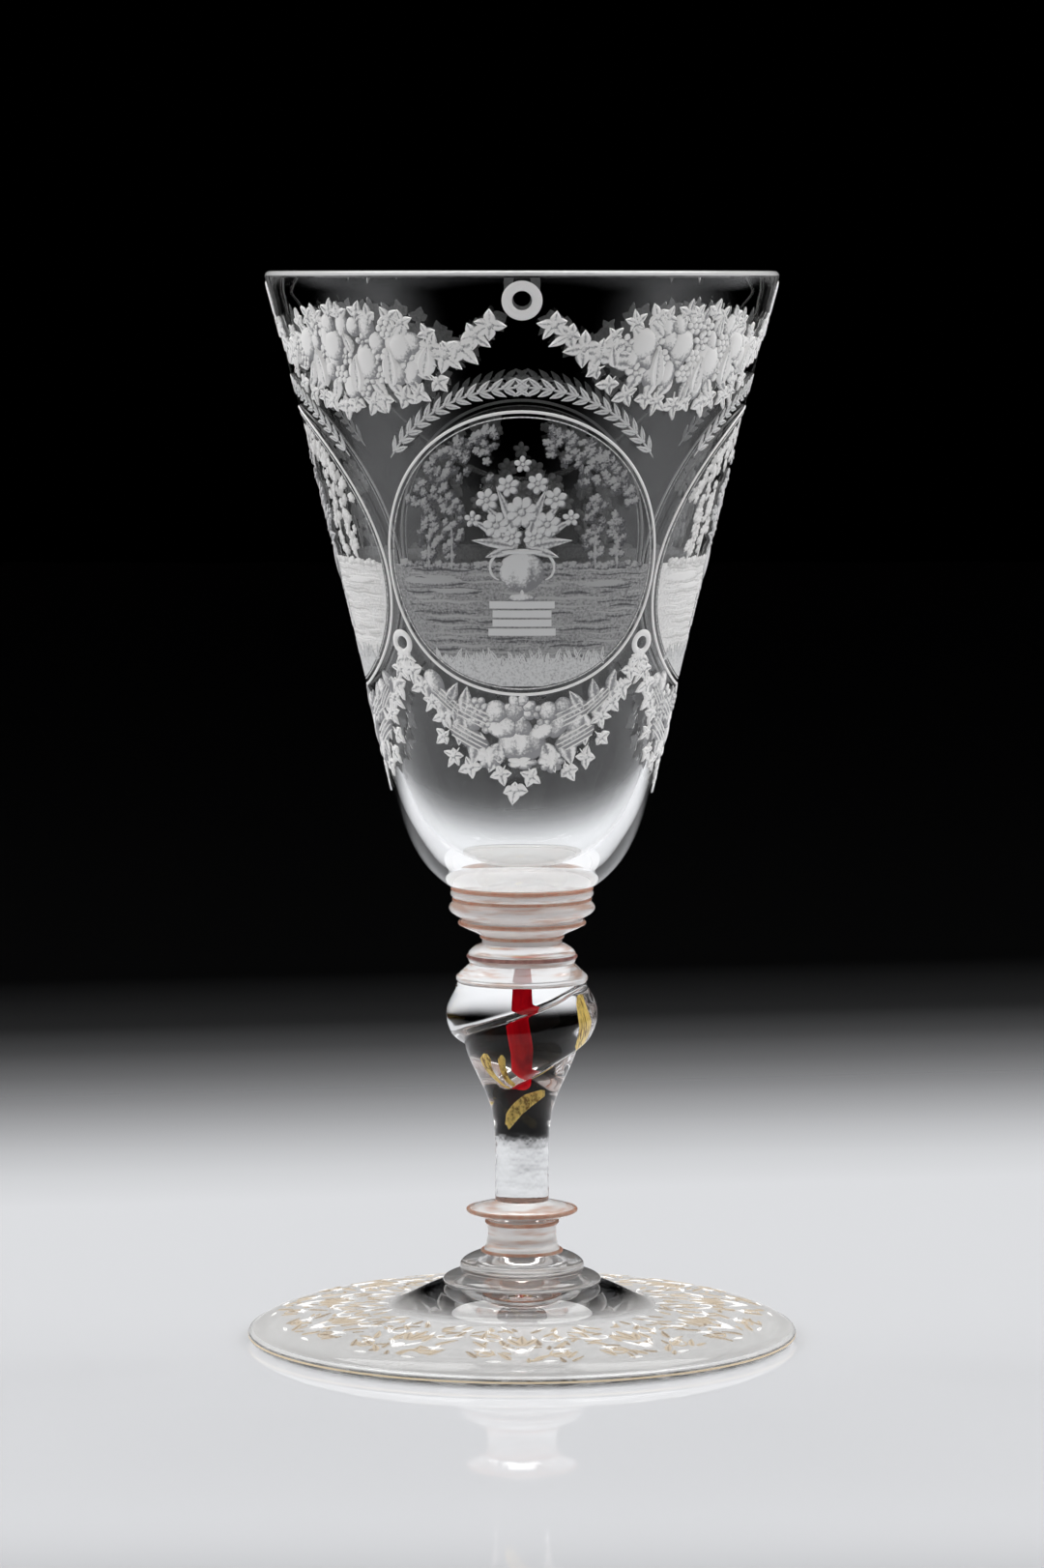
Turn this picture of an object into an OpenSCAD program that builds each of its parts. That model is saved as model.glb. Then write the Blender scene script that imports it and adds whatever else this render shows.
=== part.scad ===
// Baroque pokal goblet: a blown funnel bowl on a stack of fused wafers, a wrythen inverted
// baluster with ruby and gold drawn into it, and a domed disc foot.
// The goblet stands on the plane z = 0 with its axis on Z. Sizes are in millimetres.

/* [Bowl] */
// Height of the bowl from its seat to the top of the rim
bowl_h = 120.9; // [90:0.1:160]
// Outer radius of the bowl at the rim
rim_r = 50.1; // [40:0.1:60]
// Thickness of the blown wall
wall = 2; // [1.4:0.1:3]
// Thickness of glass left under the inside of the bowl
base_t = 2.4; // [2:0.1:6]
// Height above the seat where the round inside of the base runs into the side
hollow_h = 30; // [26:0.1:36]
// Inner radius at that height
hollow_r = 25.6; // [23:0.1:26]
// Outer radius where the straight side turns into the round base
belly_r = 26; // [22:0.1:30]
// Height of that turn above the seat
belly_h = 21.5; // [18:0.1:28]
// Lean of the side just above the base, in degrees from upright
belly_lean = 12.7; // [8:0.1:15]
// Lean of the side at the rim, in degrees from upright
rim_lean = 15.1; // [12:0.1:19]
// Radius of the joint between the bowl and the upper wafer
bowl_joint_r = 13.6; // [12.5:0.1:15]

/* [Upper collar] */
// Height of the upper wafer
upper_wafer_h = 2.1; // [1.6:0.1:4]
// Rim radius of the upper wafer
upper_wafer_r = 14.1; // [13.8:0.1:17]
// Radius of the joint between the upper and middle wafers
middle_joint_r = 13.3; // [11:0.1:13.6]
// Height of the middle wafer
middle_wafer_h = 3.8; // [2.5:0.1:6]
// Rim radius of the middle wafer
middle_wafer_r = 14.4; // [13.8:0.1:18]
// Radius of the joint between the middle and lower wafers
lower_joint_r = 11.9; // [10:0.1:12.4]
// Height of the lower wafer
lower_wafer_h = 3.6; // [2.5:0.1:6]
// Rim radius of the lower wafer
lower_wafer_r = 12.4; // [11.9:0.1:15]
// Height of the waist band under the lower wafer
waist_h = 1.4; // [1:0.1:4]
// Radius of the waist band
waist_r = 7.9; // [6:0.1:9.5]
// Height of the flared collar under the waist
flare_h = 3.9; // [3:0.1:6]
// Rim radius of the flared collar
flare_r = 10.7; // [10:0.1:13]
// Radius of the joint between the flared collar and the shoulder
shoulder_joint_r = 10.2; // [8.5:0.1:11]
// Height of the sloping shoulder on top of the baluster
shoulder_h = 3.7; // [2.5:0.1:6]
// Radius of the edge of the shoulder
shoulder_r = 13; // [12.2:0.1:15]

/* [Baluster] */
// Height of the baluster with its neck
baluster_h = 43.4; // [39.4:0.1:60]
// Radius of the flat top of the baluster, under the shoulder
baluster_top_r = 12.6; // [11:0.1:13.6]
// Largest radius of the bulb
bulb_r = 14.9; // [13.6:0.1:18]
// Height of the widest part of the bulb above the foot of the neck
bulb_at = 36.8; // [34:0.1:39]
// Radius where the taper runs into the bulb
taper_r = 8.9; // [7.6:0.1:10.5]
// Height where the taper runs into the bulb
taper_h = 25.1; // [22:0.1:28]
// Lean of the side there, in degrees from upright
taper_lean = 26; // [18:0.5:32]
// Radius of the straight neck
neck_r = 5.3; // [4.8:0.1:6.4]
// Height of the straight neck
neck_h = 10.8; // [6:0.1:13]
// Number of spiral creases drawn round the bulb
crease_starts = 2; // [1:1:6]
// Rise of one crease in a full turn
crease_lead = 27; // [16:0.5:60]
// Depth of a crease
crease_depth = 1.6; // [0.2:0.05:1.8]
// Height above the foot of the neck where a crease meets the right-hand side
crease_at = 31; // [24:0.1:36]
// Height above the foot of the neck where the creases begin
crease_from = 16; // [13:0.1:20]
// Height above the foot of the neck where they reach their full depth
crease_full = 28; // [24:0.1:32]
// Share of a lobe, in degrees of its round of 360, that rolls over into the crease below it
crease_roll = 60; // [30:5:120]
// Share of a lobe, in degrees, over which it comes out of the crease above it
crease_rise = 170; // [60:5:240]

/* [Ruby and gold inside the baluster] */
// Height of the ruby bead that gathers the strips, above the foot of the neck
bead_h = 24; // [23:0.1:25.5]
// Radius of the ruby bead
bead_r = 1.7; // [1:0.1:1.9]
// Width of the ruby ribbon on the axis
ribbon_w = 2.9; // [1.2:0.1:3.2]
// Thickness of the ruby ribbon
ribbon_t = 1; // [0.5:0.1:1.4]
// Twist of the ruby ribbon from end to end, in degrees
ribbon_turn = 70; // [0:5:180]
// Thickness of a gold strip
strip_t = 0.4; // [0.3:0.05:0.8]
// Length of the gold tail below the bead
tail_len = 8.4; // [5:0.1:9]
// Width of the gold tail at its widest
tail_w = 2.6; // [1:0.1:2.8]
// Thickness of the gold tail
tail_t = 0.7; // [0.4:0.05:1]
// Sideways lean of the gold tail from end to end
tail_lean = 4.6; // [0:0.1:5]
// Glass left between the inclusions, and over their upper ends
inclusion_gap = 0.4; // [0.3:0.05:0.8]

/* [Lower stem] */
// Height of the thin disc under the neck
disc_h = 4.3; // [3:0.1:6]
// Rim radius of the thin disc
disc_r = 10.8; // [9:0.1:14]
// Height of the spool under the disc
spool_h = 5.8; // [4:0.1:12]
// Radius of the joint between the spool and the disc
spool_top_r = 6.9; // [6:0.1:7.6]
// Radius of the spool at its waist
spool_waist_r = 6.7; // [5.5:0.1:7]
// Radius of the joint between the spool and the upper button
spool_base_r = 7.7; // [7:0.1:9]

/* [Foot] */
// Height of the upper button on the foot
upper_button_h = 3.9; // [3:0.1:7]
// Rim radius of the upper button
upper_button_r = 12.3; // [12.1:0.1:15]
// Radius of the joint between the two buttons
button_joint_r = 12; // [10:0.1:12.2]
// Height of the lower button on the foot
lower_button_h = 2.2; // [1.6:0.1:4]
// Rim radius of the lower button
lower_button_r = 15.6; // [15.3:0.1:18]
// Radius of the joint between the lower button and the foot
foot_joint_r = 15.2; // [13.5:0.1:15.5]
// Height of the foot at its seat for the lower button
foot_h = 11; // [10:0.1:13]
// Radius where the flat of the foot rises into its dome
plate_r = 27; // [24:0.1:32]
// Height of the foot there
plate_h = 6.4; // [5.4:0.1:7.4]
// Thickness of the flat of the foot
plate_t = 2.6; // [2:0.1:3]
// Outer radius of the foot
foot_r = 54.2; // [45:0.1:62]
// Thickness of the foot at its rounded edge
foot_edge_t = 2; // [1.6:0.1:3]
// Width of the flat ring that the foot stands on
stand_w = 1.4; // [1:0.1:3]
// Height of the hollow under the dome of the foot
kick_h = 8; // [6.5:0.1:8.5]
// Radius of the ground-out pontil under the foot
pontil_r = 8; // [5:0.1:10]
// Depth of the ground-out pontil
pontil_d = 0.7; // [0.3:0.05:1.2]

/* [Ruby threads] */
// Radius of the trailed ruby threads
thread_r = 0.42; // [0.3:0.02:0.6]
// How far the middle of a thread lies under the surface that carries it
thread_sink = 0.22; // [0.1:0.02:0.28]

/* [Hidden] */
curve_steps = 14;    // segments in each curve of an outline
wafer_steps = 16;    // segments in the side of a wafer
edge_steps = 10;     // segments in a rounded edge
round_sides = 64;    // sides of the creased baluster
ribbon_rings = 18;   // cross-sections of a ribbon
$fn = 96;

// Heights of the joints, from the floor up
z_lower_button = foot_h;
z_upper_button = z_lower_button + lower_button_h;
z_spool = z_upper_button + upper_button_h;
z_disc = z_spool + spool_h;
z_neck = z_disc + disc_h;
z_shoulder = z_neck + baluster_h;
z_flare = z_shoulder + shoulder_h;
z_waist = z_flare + flare_h;
z_lower_wafer = z_waist + waist_h;
z_middle_wafer = z_lower_wafer + lower_wafer_h;
z_upper_wafer = z_middle_wafer + middle_wafer_h;
z_bowl = z_upper_wafer + upper_wafer_h;

// Where the rims of the turned pieces lie, as a share of each piece's height
upper_wafer_rim_at = 0.55;
middle_wafer_rim_at = 0.55;
lower_wafer_rim_at = 0.75;
flare_rim_at = 0.35;
disc_rim_at = 0.56;
upper_button_rim_at = 0.26;
lower_button_rim_at = 0.2;

// Sharpness of the rims: under 1 is full and round, over 1 is thin
wafer_sharp = 0.9;
collar_sharp = 0.75;
disc_sharp = 1.5;
button_sharp = 0.8;

GLASS = "aliceblue";
RUBY = "crimson";
GOLD = "goldenrod";

// Middle of each ruby thread, as [radius, height]
THREADS = [
    [bowl_joint_r, z_bowl],
    [middle_joint_r, z_upper_wafer],
    [lower_wafer_r - thread_sink, z_lower_wafer + lower_wafer_h * lower_wafer_rim_at],
    [waist_r, z_lower_wafer],
    [flare_r - thread_sink, z_flare + flare_h * flare_rim_at],
    [disc_r - thread_sink, z_disc + disc_h * disc_rim_at],
    [spool_top_r, z_disc],
    [spool_base_r, z_spool]
];
THREAD_NAMES = [
    "ruby_thread_bowl", "ruby_thread_middle", "ruby_thread_lower", "ruby_thread_waist",
    "ruby_thread_collar", "ruby_thread_disc", "ruby_thread_spool_top", "ruby_thread_spool_base"
];

// Each gold strip: its direction at the bead and its turn on the way up, in degrees, the glass between
// it and the bead's round at its lower end, its reach from the axis at its upper end, the heights of
// its two ends as shares of the way from the middle of the bead to the flat top, and its widths there
STRIPS = [
    [186, 20, 0.3, 6, -0.02, 0.37, 1, 3],
    [215, 10, 0.3, 4.2, 0.01, 0.38, 0.9, 1.6],
    [320, 16, 0.5, 5.4, 0.03, 0.2, 0.8, 1.2],
    [352, 10, 7.3, 9, 0.38, 0.76, 4, 5.5]
];
STRIP_NAMES = [for (i = [1 : len(STRIPS)]) str("gold_strip_", i)];

// Curves

function bezier(a, b, c, d, t) =
    pow(1 - t, 3) * a + 3 * t * pow(1 - t, 2) * b + 3 * t * t * (1 - t) * c + pow(t, 3) * d;

// Points along a curve from a to d that leaves towards b and arrives from c
function curve(a, b, c, d) = [for (i = [0 : curve_steps]) bezier(a, b, c, d, i / curve_steps)];

// Points of an arc about a centre, from one angle to another
function arc(centre, r, from, to) =
    [for (i = [0 : edge_steps])
        let (angle = from + (to - from) * i / edge_steps)
        centre + r * [cos(angle), sin(angle)]];

// 0 below a, 1 above b, and an even S between them
function ease(a, b, x) = let (t = min(1, max(0, (x - a) / (b - a)))) t * t * (3 - 2 * t);

function mix(a, b, t) = a + (b - a) * t;

// Side of a turned piece that swells from a joint to a rim and back to a joint
function swell(h, bottom_r, rim, top_r, rim_at, sharp) =
    let (skew = ln(0.5) / ln(rim_at))
    [for (i = [0 : wafer_steps])
        let (s = i / wafer_steps, straight = mix(bottom_r, top_r, s))
        [straight + (rim - straight) * pow(abs(sin(180 * pow(s, skew))), sharp), h * s]];

// Turned glass

// A piece turned about Z from its side, closed on the axis and seated at a height,
// with the grooves of the ruby threads cut in it
module turned(side, z) {
    last = len(side) - 1;
    rotate_extrude()
        difference() {
            translate([0, z])
                polygon(concat([[0, side[0].y]], side, [[0, side[last].y]]));
            thread_sections();
        }
}

module thread_section(i) {
    translate(THREADS[i]) circle(thread_r);
}

module thread_sections() {
    for (i = [0 : len(THREADS) - 1]) thread_section(i);
}

module ruby_thread(i) {
    color(RUBY) rotate_extrude() thread_section(i);
}

// Bowl

belly = [belly_r, belly_h];
rim_mid = [rim_r - wall / 2, bowl_h - wall / 2];
rim_out = rim_mid + wall / 2 * [cos(-rim_lean), sin(-rim_lean)];
rim_in = rim_mid - wall / 2 * [cos(-rim_lean), sin(-rim_lean)];
hollow = [hollow_r, hollow_h];
side_reach = (bowl_h - belly_h) / 3;
base_reach = belly_h * 0.6;
hollow_side_reach = (bowl_h - hollow_h) / 3;
hollow_base_reach = (hollow_h - base_t) * 0.64;
belly_way = [tan(belly_lean), 1];
rim_way = [tan(rim_lean), 1];

function bowl_outside() = concat(
    curve([bowl_joint_r, 0], [mix(bowl_joint_r, belly_r, 0.44), belly_h * 0.16],
          belly - base_reach * belly_way, belly),
    curve(belly, belly + side_reach * belly_way, rim_out - side_reach * rim_way, rim_out)
);

function bowl_inside() = concat(
    curve(rim_in, rim_in - hollow_side_reach * rim_way, hollow + hollow_side_reach * belly_way, hollow),
    curve(hollow, hollow - hollow_base_reach * belly_way, [hollow_r * 0.63, base_t], [0, base_t])
);

module bowl() {
    lip = arc(rim_mid, wall / 2, -rim_lean, 180 - rim_lean);
    color(GLASS)
        rotate_extrude()
            difference() {
                translate([0, z_bowl])
                    polygon(concat([[0, 0]], bowl_outside(), lip, bowl_inside()));
                thread_sections();
            }
}

// Upper collar

module upper_wafer() {
    color(GLASS)
        turned(swell(upper_wafer_h, middle_joint_r, upper_wafer_r, bowl_joint_r,
                     upper_wafer_rim_at, wafer_sharp), z_upper_wafer);
}

module middle_wafer() {
    color(GLASS)
        turned(swell(middle_wafer_h, lower_joint_r, middle_wafer_r, middle_joint_r,
                     middle_wafer_rim_at, wafer_sharp), z_middle_wafer);
}

module lower_wafer() {
    color(GLASS)
        turned(swell(lower_wafer_h, waist_r, lower_wafer_r, lower_joint_r,
                     lower_wafer_rim_at, wafer_sharp), z_lower_wafer);
}

module waist_band() {
    color(GLASS) turned([[waist_r, 0], [waist_r, waist_h]], z_waist);
}

module flared_collar() {
    color(GLASS)
        turned(swell(flare_h, shoulder_joint_r, flare_r, waist_r, flare_rim_at, collar_sharp),
               z_flare);
}

// The shoulder has a rounded edge at its foot and slopes up to the flared collar
module shoulder() {
    edge_r = shoulder_h * 0.22;
    side = concat(
        [[baluster_top_r - edge_r, 0]],
        arc([shoulder_r - edge_r, edge_r], edge_r, -90, 45),
        [[shoulder_joint_r, shoulder_h]]
    );
    color(GLASS) turned(side, z_shoulder);
}

// Baluster

// Plain outline of the baluster, from the neck up, before it is creased
neck_top = [neck_r, neck_h];
taper_top = [taper_r, taper_h];
bulb_mid = [bulb_r, bulb_at];
bulb_top = [baluster_top_r, baluster_h];
taper_rise = taper_h - neck_h;
bulb_rise = bulb_at - taper_h;
crown_rise = baluster_h - bulb_at;
taper_way = [tan(taper_lean), 1];

function without_first(list) = [for (i = [1 : len(list) - 1]) list[i]];

baluster_outline = concat(
    [[neck_r, 0]],
    curve(neck_top, neck_top + [0, taper_rise * 0.45], taper_top - taper_rise * 0.31 * taper_way, taper_top),
    without_first(curve(taper_top, taper_top + bulb_rise * 0.31 * taper_way,
                        bulb_mid - [0, bulb_rise * 0.31], bulb_mid)),
    without_first(curve(bulb_mid, bulb_mid + [0, crown_rise * 0.45],
                        bulb_top + [(bulb_r - baluster_top_r) * 0.5, -crown_rise * 0.21], bulb_top))
);

// Depth of the spiral creases at an angle and height: none on the neck and at the flat top.
// The lobe above a crease rolls over into it, and the lobe below comes out of it slowly.
function crease(angle, z) =
    let (phase = crease_starts * (angle - 360 * (z - crease_at) / crease_lead),
         past = phase - 360 * round(phase / 360),
         away = past < 0 ? -past / crease_roll : past / crease_rise,
         share = ease(crease_from, crease_full, z)
               * (1 - ease(baluster_h - crown_rise * 0.3, baluster_h, z)))
    crease_depth * share * pow(max(0, 1 - away), 2);

// Faces of a closed skin over rings of points that run from the bottom up
function skin_faces(rings, sides) = concat(
    [[for (j = [0 : sides - 1]) j]],
    [for (i = [0 : rings - 2], j = [0 : sides - 1], half = [0, 1])
        let (a = i * sides + j, b = i * sides + (j + 1) % sides,
             c = b + sides, d = a + sides)
        half == 0 ? [a, d, c] : [a, c, b]],
    [[for (j = [sides - 1 : -1 : 0]) (rings - 1) * sides + j]]
);

module baluster_blank() {
    points = [for (p = baluster_outline, j = [0 : round_sides - 1])
        let (angle = 360 * j / round_sides, r = p.x - crease(angle, p.y))
        [r * cos(angle), r * sin(angle), p.y]];
    translate([0, 0, z_neck])
        polyhedron(points, skin_faces(len(baluster_outline), round_sides));
}

module baluster() {
    color(GLASS)
        difference() {
            baluster_blank();
            ruby_ribbon();
            ruby_bead();
            for (strip = STRIPS) gold_strip(strip);
            gold_tail();
        }
}

// Ruby and gold inside the baluster

// A drawn strip of level cross-sections: centre, width and facing are functions of the
// share t of the way from its lower end to its upper end
module drawn_strip(centre, width, thick, facing) {
    corners = [[1, 1], [-1, 1], [-1, -1], [1, -1]] / 2;
    points = [for (i = [0 : ribbon_rings - 1], corner = corners)
        let (t = i / (ribbon_rings - 1), w = corner.x * width(t), d = corner.y * thick, a = facing(t))
        centre(t) + [w * cos(a) - d * sin(a), w * sin(a) + d * cos(a), 0]];
    translate([0, 0, z_neck]) polyhedron(points, skin_faces(ribbon_rings, len(corners)));
}

module ruby_ribbon() {
    low = bead_h + bead_r + inclusion_gap;
    high = baluster_h - 2 * inclusion_gap;
    color(RUBY)
        drawn_strip(function(t) [0, 0, mix(low, high, t)],
                    function(t) ribbon_w,
                    ribbon_t,
                    function(t) ribbon_turn * (t - 0.5));
}

module ruby_bead() {
    color(RUBY) translate([0, 0, z_neck + bead_h]) sphere(bead_r);
}

// The strips leave the bead, spread into the bulb and lean with the twist
module gold_strip(strip) {
    in_r = bead_r + strip[2];
    low = mix(bead_h, baluster_h, strip[4]);
    high = mix(bead_h, baluster_h, strip[5]);
    angle = function(t) strip[0] + strip[1] * t;
    reach = function(t) mix(in_r, strip[3], sin(90 * t));
    color(GOLD)
        drawn_strip(function(t) [reach(t) * cos(angle(t)), reach(t) * sin(angle(t)), mix(low, high, t)],
                    function(t) mix(strip[6], strip[7], t),
                    strip_t,
                    function(t) angle(t) + 90);
}

// The tail leans away from the axis beside the bead and thins out downwards
module gold_tail() {
    head = [bead_r + tail_w * 0.46, bead_h - bead_r + inclusion_gap * 1.25];
    foot_x = head.x - tail_lean;
    low = head.y - tail_len;
    color(GOLD)
        drawn_strip(function(t) [mix(foot_x, head.x, t * t), 0, mix(low, head.y, t)],
                    function(t) tail_w * mix(0.2, 1, sin(120 * t)),
                    tail_t,
                    function(t) 40 * t - 20);
}

// Lower stem

module thin_disc() {
    color(GLASS)
        turned(swell(disc_h, spool_top_r, disc_r, neck_r, disc_rim_at, disc_sharp), z_disc);
}

module spool() {
    side = curve([spool_base_r, 0], [spool_waist_r, spool_h * 0.25],
                 [spool_waist_r, spool_h * 0.7], [spool_top_r, spool_h]);
    color(GLASS) turned(side, z_spool);
}

// Foot

module upper_button() {
    color(GLASS)
        turned(swell(upper_button_h, button_joint_r, upper_button_r, spool_base_r,
                     upper_button_rim_at, button_sharp), z_upper_button);
}

module lower_button() {
    color(GLASS)
        turned(swell(lower_button_h, foot_joint_r, lower_button_r, button_joint_r,
                     lower_button_rim_at, button_sharp), z_lower_button);
}

// A disc that turns down to its rounded edge and rises to a dome in the middle, on a flat standing
// ring, hollow underneath, with a ground-out pontil
module foot() {
    edge_r = foot_edge_t / 2;
    edge_mid = [foot_r - edge_r, edge_r];
    edge_top = [edge_mid.x, foot_edge_t];
    stand_in = [edge_mid.x - stand_w, 0];
    plate = [plate_r, plate_h];
    plate_under = plate - [0, plate_t];
    seat = [foot_joint_r, foot_h];
    kick = [pontil_r, kick_h];
    plate_run = edge_top.x - plate_r;
    plate_rise = plate_h - foot_edge_t;
    dome_run = plate_r - foot_joint_r;
    dome_rise = foot_h - plate_h;
    pontil = curve([0, kick_h + pontil_d], [pontil_r * 0.55, kick_h + pontil_d],
                   [pontil_r * 0.8, kick_h + pontil_d * 0.4], kick);
    dome_under = curve(kick, kick + [dome_run * 0.85, 0],
                       plate_under - [dome_run * 0.35, -dome_rise * 0.05], plate_under);
    under = curve(plate_under, plate_under + [plate_run * 0.5, -plate_rise * 0.14],
                  stand_in - [plate_run * 0.14, -plate_rise * 0.5], stand_in);
    top = curve(edge_top, edge_top + [-plate_run * 0.14, plate_rise * 0.68],
                plate + [plate_run * 0.5, -plate_rise * 0.14], plate);
    dome = curve(plate, plate + [-dome_run * 0.25, dome_rise * 0.04],
                 seat + [dome_run * 0.45, -dome_rise * 0.3], seat);
    color(GLASS)
        rotate_extrude()
            polygon(concat(pontil, without_first(dome_under), without_first(under),
                           arc(edge_mid, edge_r, -90, 90), without_first(top), without_first(dome),
                           [[0, foot_h]]));
}

bowl();
upper_wafer();
middle_wafer();
lower_wafer();
waist_band();
flared_collar();
shoulder();
baluster();
ruby_ribbon();
ruby_bead();
gold_tail();
thin_disc();
spool();
upper_button();
lower_button();
foot();
for (i = [0 : len(STRIPS) - 1])
    gold_strip(STRIPS[i]);
for (i = [0 : len(THREADS) - 1])
    ruby_thread(i);
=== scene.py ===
import random
from math import cos, degrees, log, pi, radians, sin, sqrt, tan
from random import uniform

import bpy
import numpy as np
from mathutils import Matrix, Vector


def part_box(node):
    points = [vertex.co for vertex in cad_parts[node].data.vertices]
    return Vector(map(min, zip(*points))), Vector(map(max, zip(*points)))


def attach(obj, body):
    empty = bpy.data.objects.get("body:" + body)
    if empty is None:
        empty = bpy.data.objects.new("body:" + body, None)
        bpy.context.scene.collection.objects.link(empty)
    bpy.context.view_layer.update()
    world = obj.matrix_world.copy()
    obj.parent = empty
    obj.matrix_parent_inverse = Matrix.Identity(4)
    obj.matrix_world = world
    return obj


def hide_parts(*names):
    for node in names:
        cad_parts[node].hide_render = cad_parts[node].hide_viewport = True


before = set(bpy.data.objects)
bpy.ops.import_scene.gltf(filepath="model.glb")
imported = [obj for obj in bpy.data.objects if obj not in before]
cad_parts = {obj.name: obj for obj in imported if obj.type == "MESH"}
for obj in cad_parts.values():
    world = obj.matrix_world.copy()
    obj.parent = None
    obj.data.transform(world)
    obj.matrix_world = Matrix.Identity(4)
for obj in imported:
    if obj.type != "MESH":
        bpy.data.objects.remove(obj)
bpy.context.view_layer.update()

# Sizes are in millimetres unless a name says otherwise, and angles in degrees.
# The heights of the pieces come from the frame.
MM = 0.001
SIDES = 192
CURVE_STEPS = 32
FRONT = 270


def heights(node):
    """Lowest and highest point of a node, in millimetres."""
    low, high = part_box(node)
    return low.z / MM, high.z / MM


# Curves, outlines and nets. Plain numbers in the points of a curve are shares of the stretch that it spans.

def mix(a, b, t):
    return a + (b - a) * t


def ease(a, b, x):
    """0 below a, 1 above b, and an even S between them."""
    t = np.clip((x - a) / (b - a), 0, 1)
    return t * t * (3 - 2 * t)


def point_from(x, y, reach, turn):
    """The point at a distance from another one, in a direction."""
    way = radians(turn)
    return x + reach * cos(way), y + reach * sin(way)


def up_at(lean):
    """The way up a side that leans out by an angle, for each millimetre of height."""
    return np.array([tan(radians(lean)), 1])


def curve(start, leave, arrive, end, steps=CURVE_STEPS):
    """Points from start to end of a curve that leaves towards one point and arrives from another."""
    a, b, c, d = (np.array(p, float) for p in (start, leave, arrive, end))
    points = []
    for t in np.linspace(0, 1, steps + 1):
        u = 1 - t
        points.append(tuple(u ** 3 * a + 3 * t * u * u * b + 3 * t * t * u * c + t ** 3 * d))
    return points


def arc(centre, radius, first, last, steps=16):
    """Points of an arc about a centre, from one angle to another."""
    return [point_from(*centre, radius, a) for a in np.linspace(first, last, steps + 1)]


def swell(low, high, bottom, rim, top, rim_at, sharp, steps=28):
    """Side of a wafer that swells from its lower joint to its rim and back to its upper joint."""
    skew = log(0.5) / log(rim_at)
    side = []
    for s in np.linspace(0, 1, steps + 1):
        straight = mix(bottom, top, s)
        bulge = abs(sin(pi * s ** skew)) ** sharp
        side.append((straight + (rim - straight) * bulge, mix(low, high, s)))
    return side


def turned_places(across, along, height, x, y, turn):
    """Places turned about their own middle and moved to a point."""
    across, along, height = np.broadcast_arrays(across, along, height)
    c, s = point_from(0, 0, 1, turn)
    return np.stack([x + c * across - s * along, y + s * across + c * along, height], axis=-1)


def net(rows, wide, first=0, rings=False, loop=False):
    """Faces between rows of points. Each row may be a ring, and the last row may join the first."""
    faces = []
    for i in range(rows if loop else rows - 1):
        low = first + i * wide
        high = first + (i + 1) % rows * wide
        for j in range(wide if rings else wide - 1):
            k = (j + 1) % wide
            faces.append((low + j, low + k, high + k, high + j))
    return faces


def flipped(faces):
    """The same faces, seen from the other side."""
    return [(face[0], *face[:0:-1]) for face in faces]


def tube(rows, wide):
    """Faces of a closed tube of rings, its two ends last."""
    last = (rows - 1) * wide
    return net(rows, wide, rings=True) + [tuple(range(wide))[::-1], tuple(range(last, last + wide))]


# Materials

GLASS_IOR = 1.5


def set_values(node, values):
    """Sets a node's inputs or its own settings. An underscore in an input's name stands for a space."""
    for name, value in values.items():
        socket = node.inputs.get(name.replace("_", " "))
        if socket is None:
            setattr(node, name, value)
        else:
            socket.default_value = value


def new_material(name, **inputs):
    """A material, its nodes and its shader, with inputs of the shader set."""
    material = bpy.data.materials.new(name)
    material.use_nodes = True
    tree = material.node_tree
    shader = tree.nodes["Principled BSDF"]
    set_values(shader, inputs)
    return material, tree, shader


def add_node(tree, kind, links=(), **values):
    """A new node with its inputs set from values or linked from other sockets."""
    made = tree.nodes.new(kind)
    set_values(made, values)
    for name, source in links:
        tree.links.new(source, made.inputs[name])
    return made


def reckon(tree, operation, *terms):
    """The result of a sum, whose terms are sockets or plain numbers."""
    made = add_node(tree, "ShaderNodeMath", operation=operation)
    for socket, term in zip(made.inputs, terms):
        if isinstance(term, float):
            socket.default_value = term
        else:
            tree.links.new(term, socket)
    return made.outputs["Value"]


def map_range(tree, source, **values):
    return add_node(tree, "ShaderNodeMapRange", [("Value", source)], **values).outputs["Result"]


def object_point(tree, scale=(1, 1, 1)):
    place = add_node(tree, "ShaderNodeTexCoord")
    stretch = add_node(tree, "ShaderNodeMapping", [("Vector", place.outputs["Object"])], Scale=scale)
    return stretch.outputs["Vector"]


def grain(tree, size, stretch=(1, 1, 1), detail=3.0, roughness=0.55):
    """Noise with lumps of about the given size in millimetres."""
    made = add_node(tree, "ShaderNodeTexNoise", [("Vector", object_point(tree, stretch))],
                    Scale=1 / (size * MM), Detail=detail, Roughness=roughness)
    return made.outputs["Fac"]


def bump(tree, shader, height, strength, depth):
    made = add_node(tree, "ShaderNodeBump", [("Height", height)], Strength=strength, Distance=depth * MM)
    tree.links.new(made.outputs["Normal"], shader.inputs["Normal"])


def tones(tree, shader, source, dark, light, low=0.3, high=0.7):
    """Colours a shader from dark to light between two levels of a value."""
    ramp = add_node(tree, "ShaderNodeValToRGB", [("Fac", source)])
    for stop, level, colour in zip(ramp.color_ramp.elements, (low, high), (dark, light)):
        stop.position = level
        stop.color = (*colour, 1)
    tree.links.new(ramp.outputs["Color"], shader.inputs["Base Color"])


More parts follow.
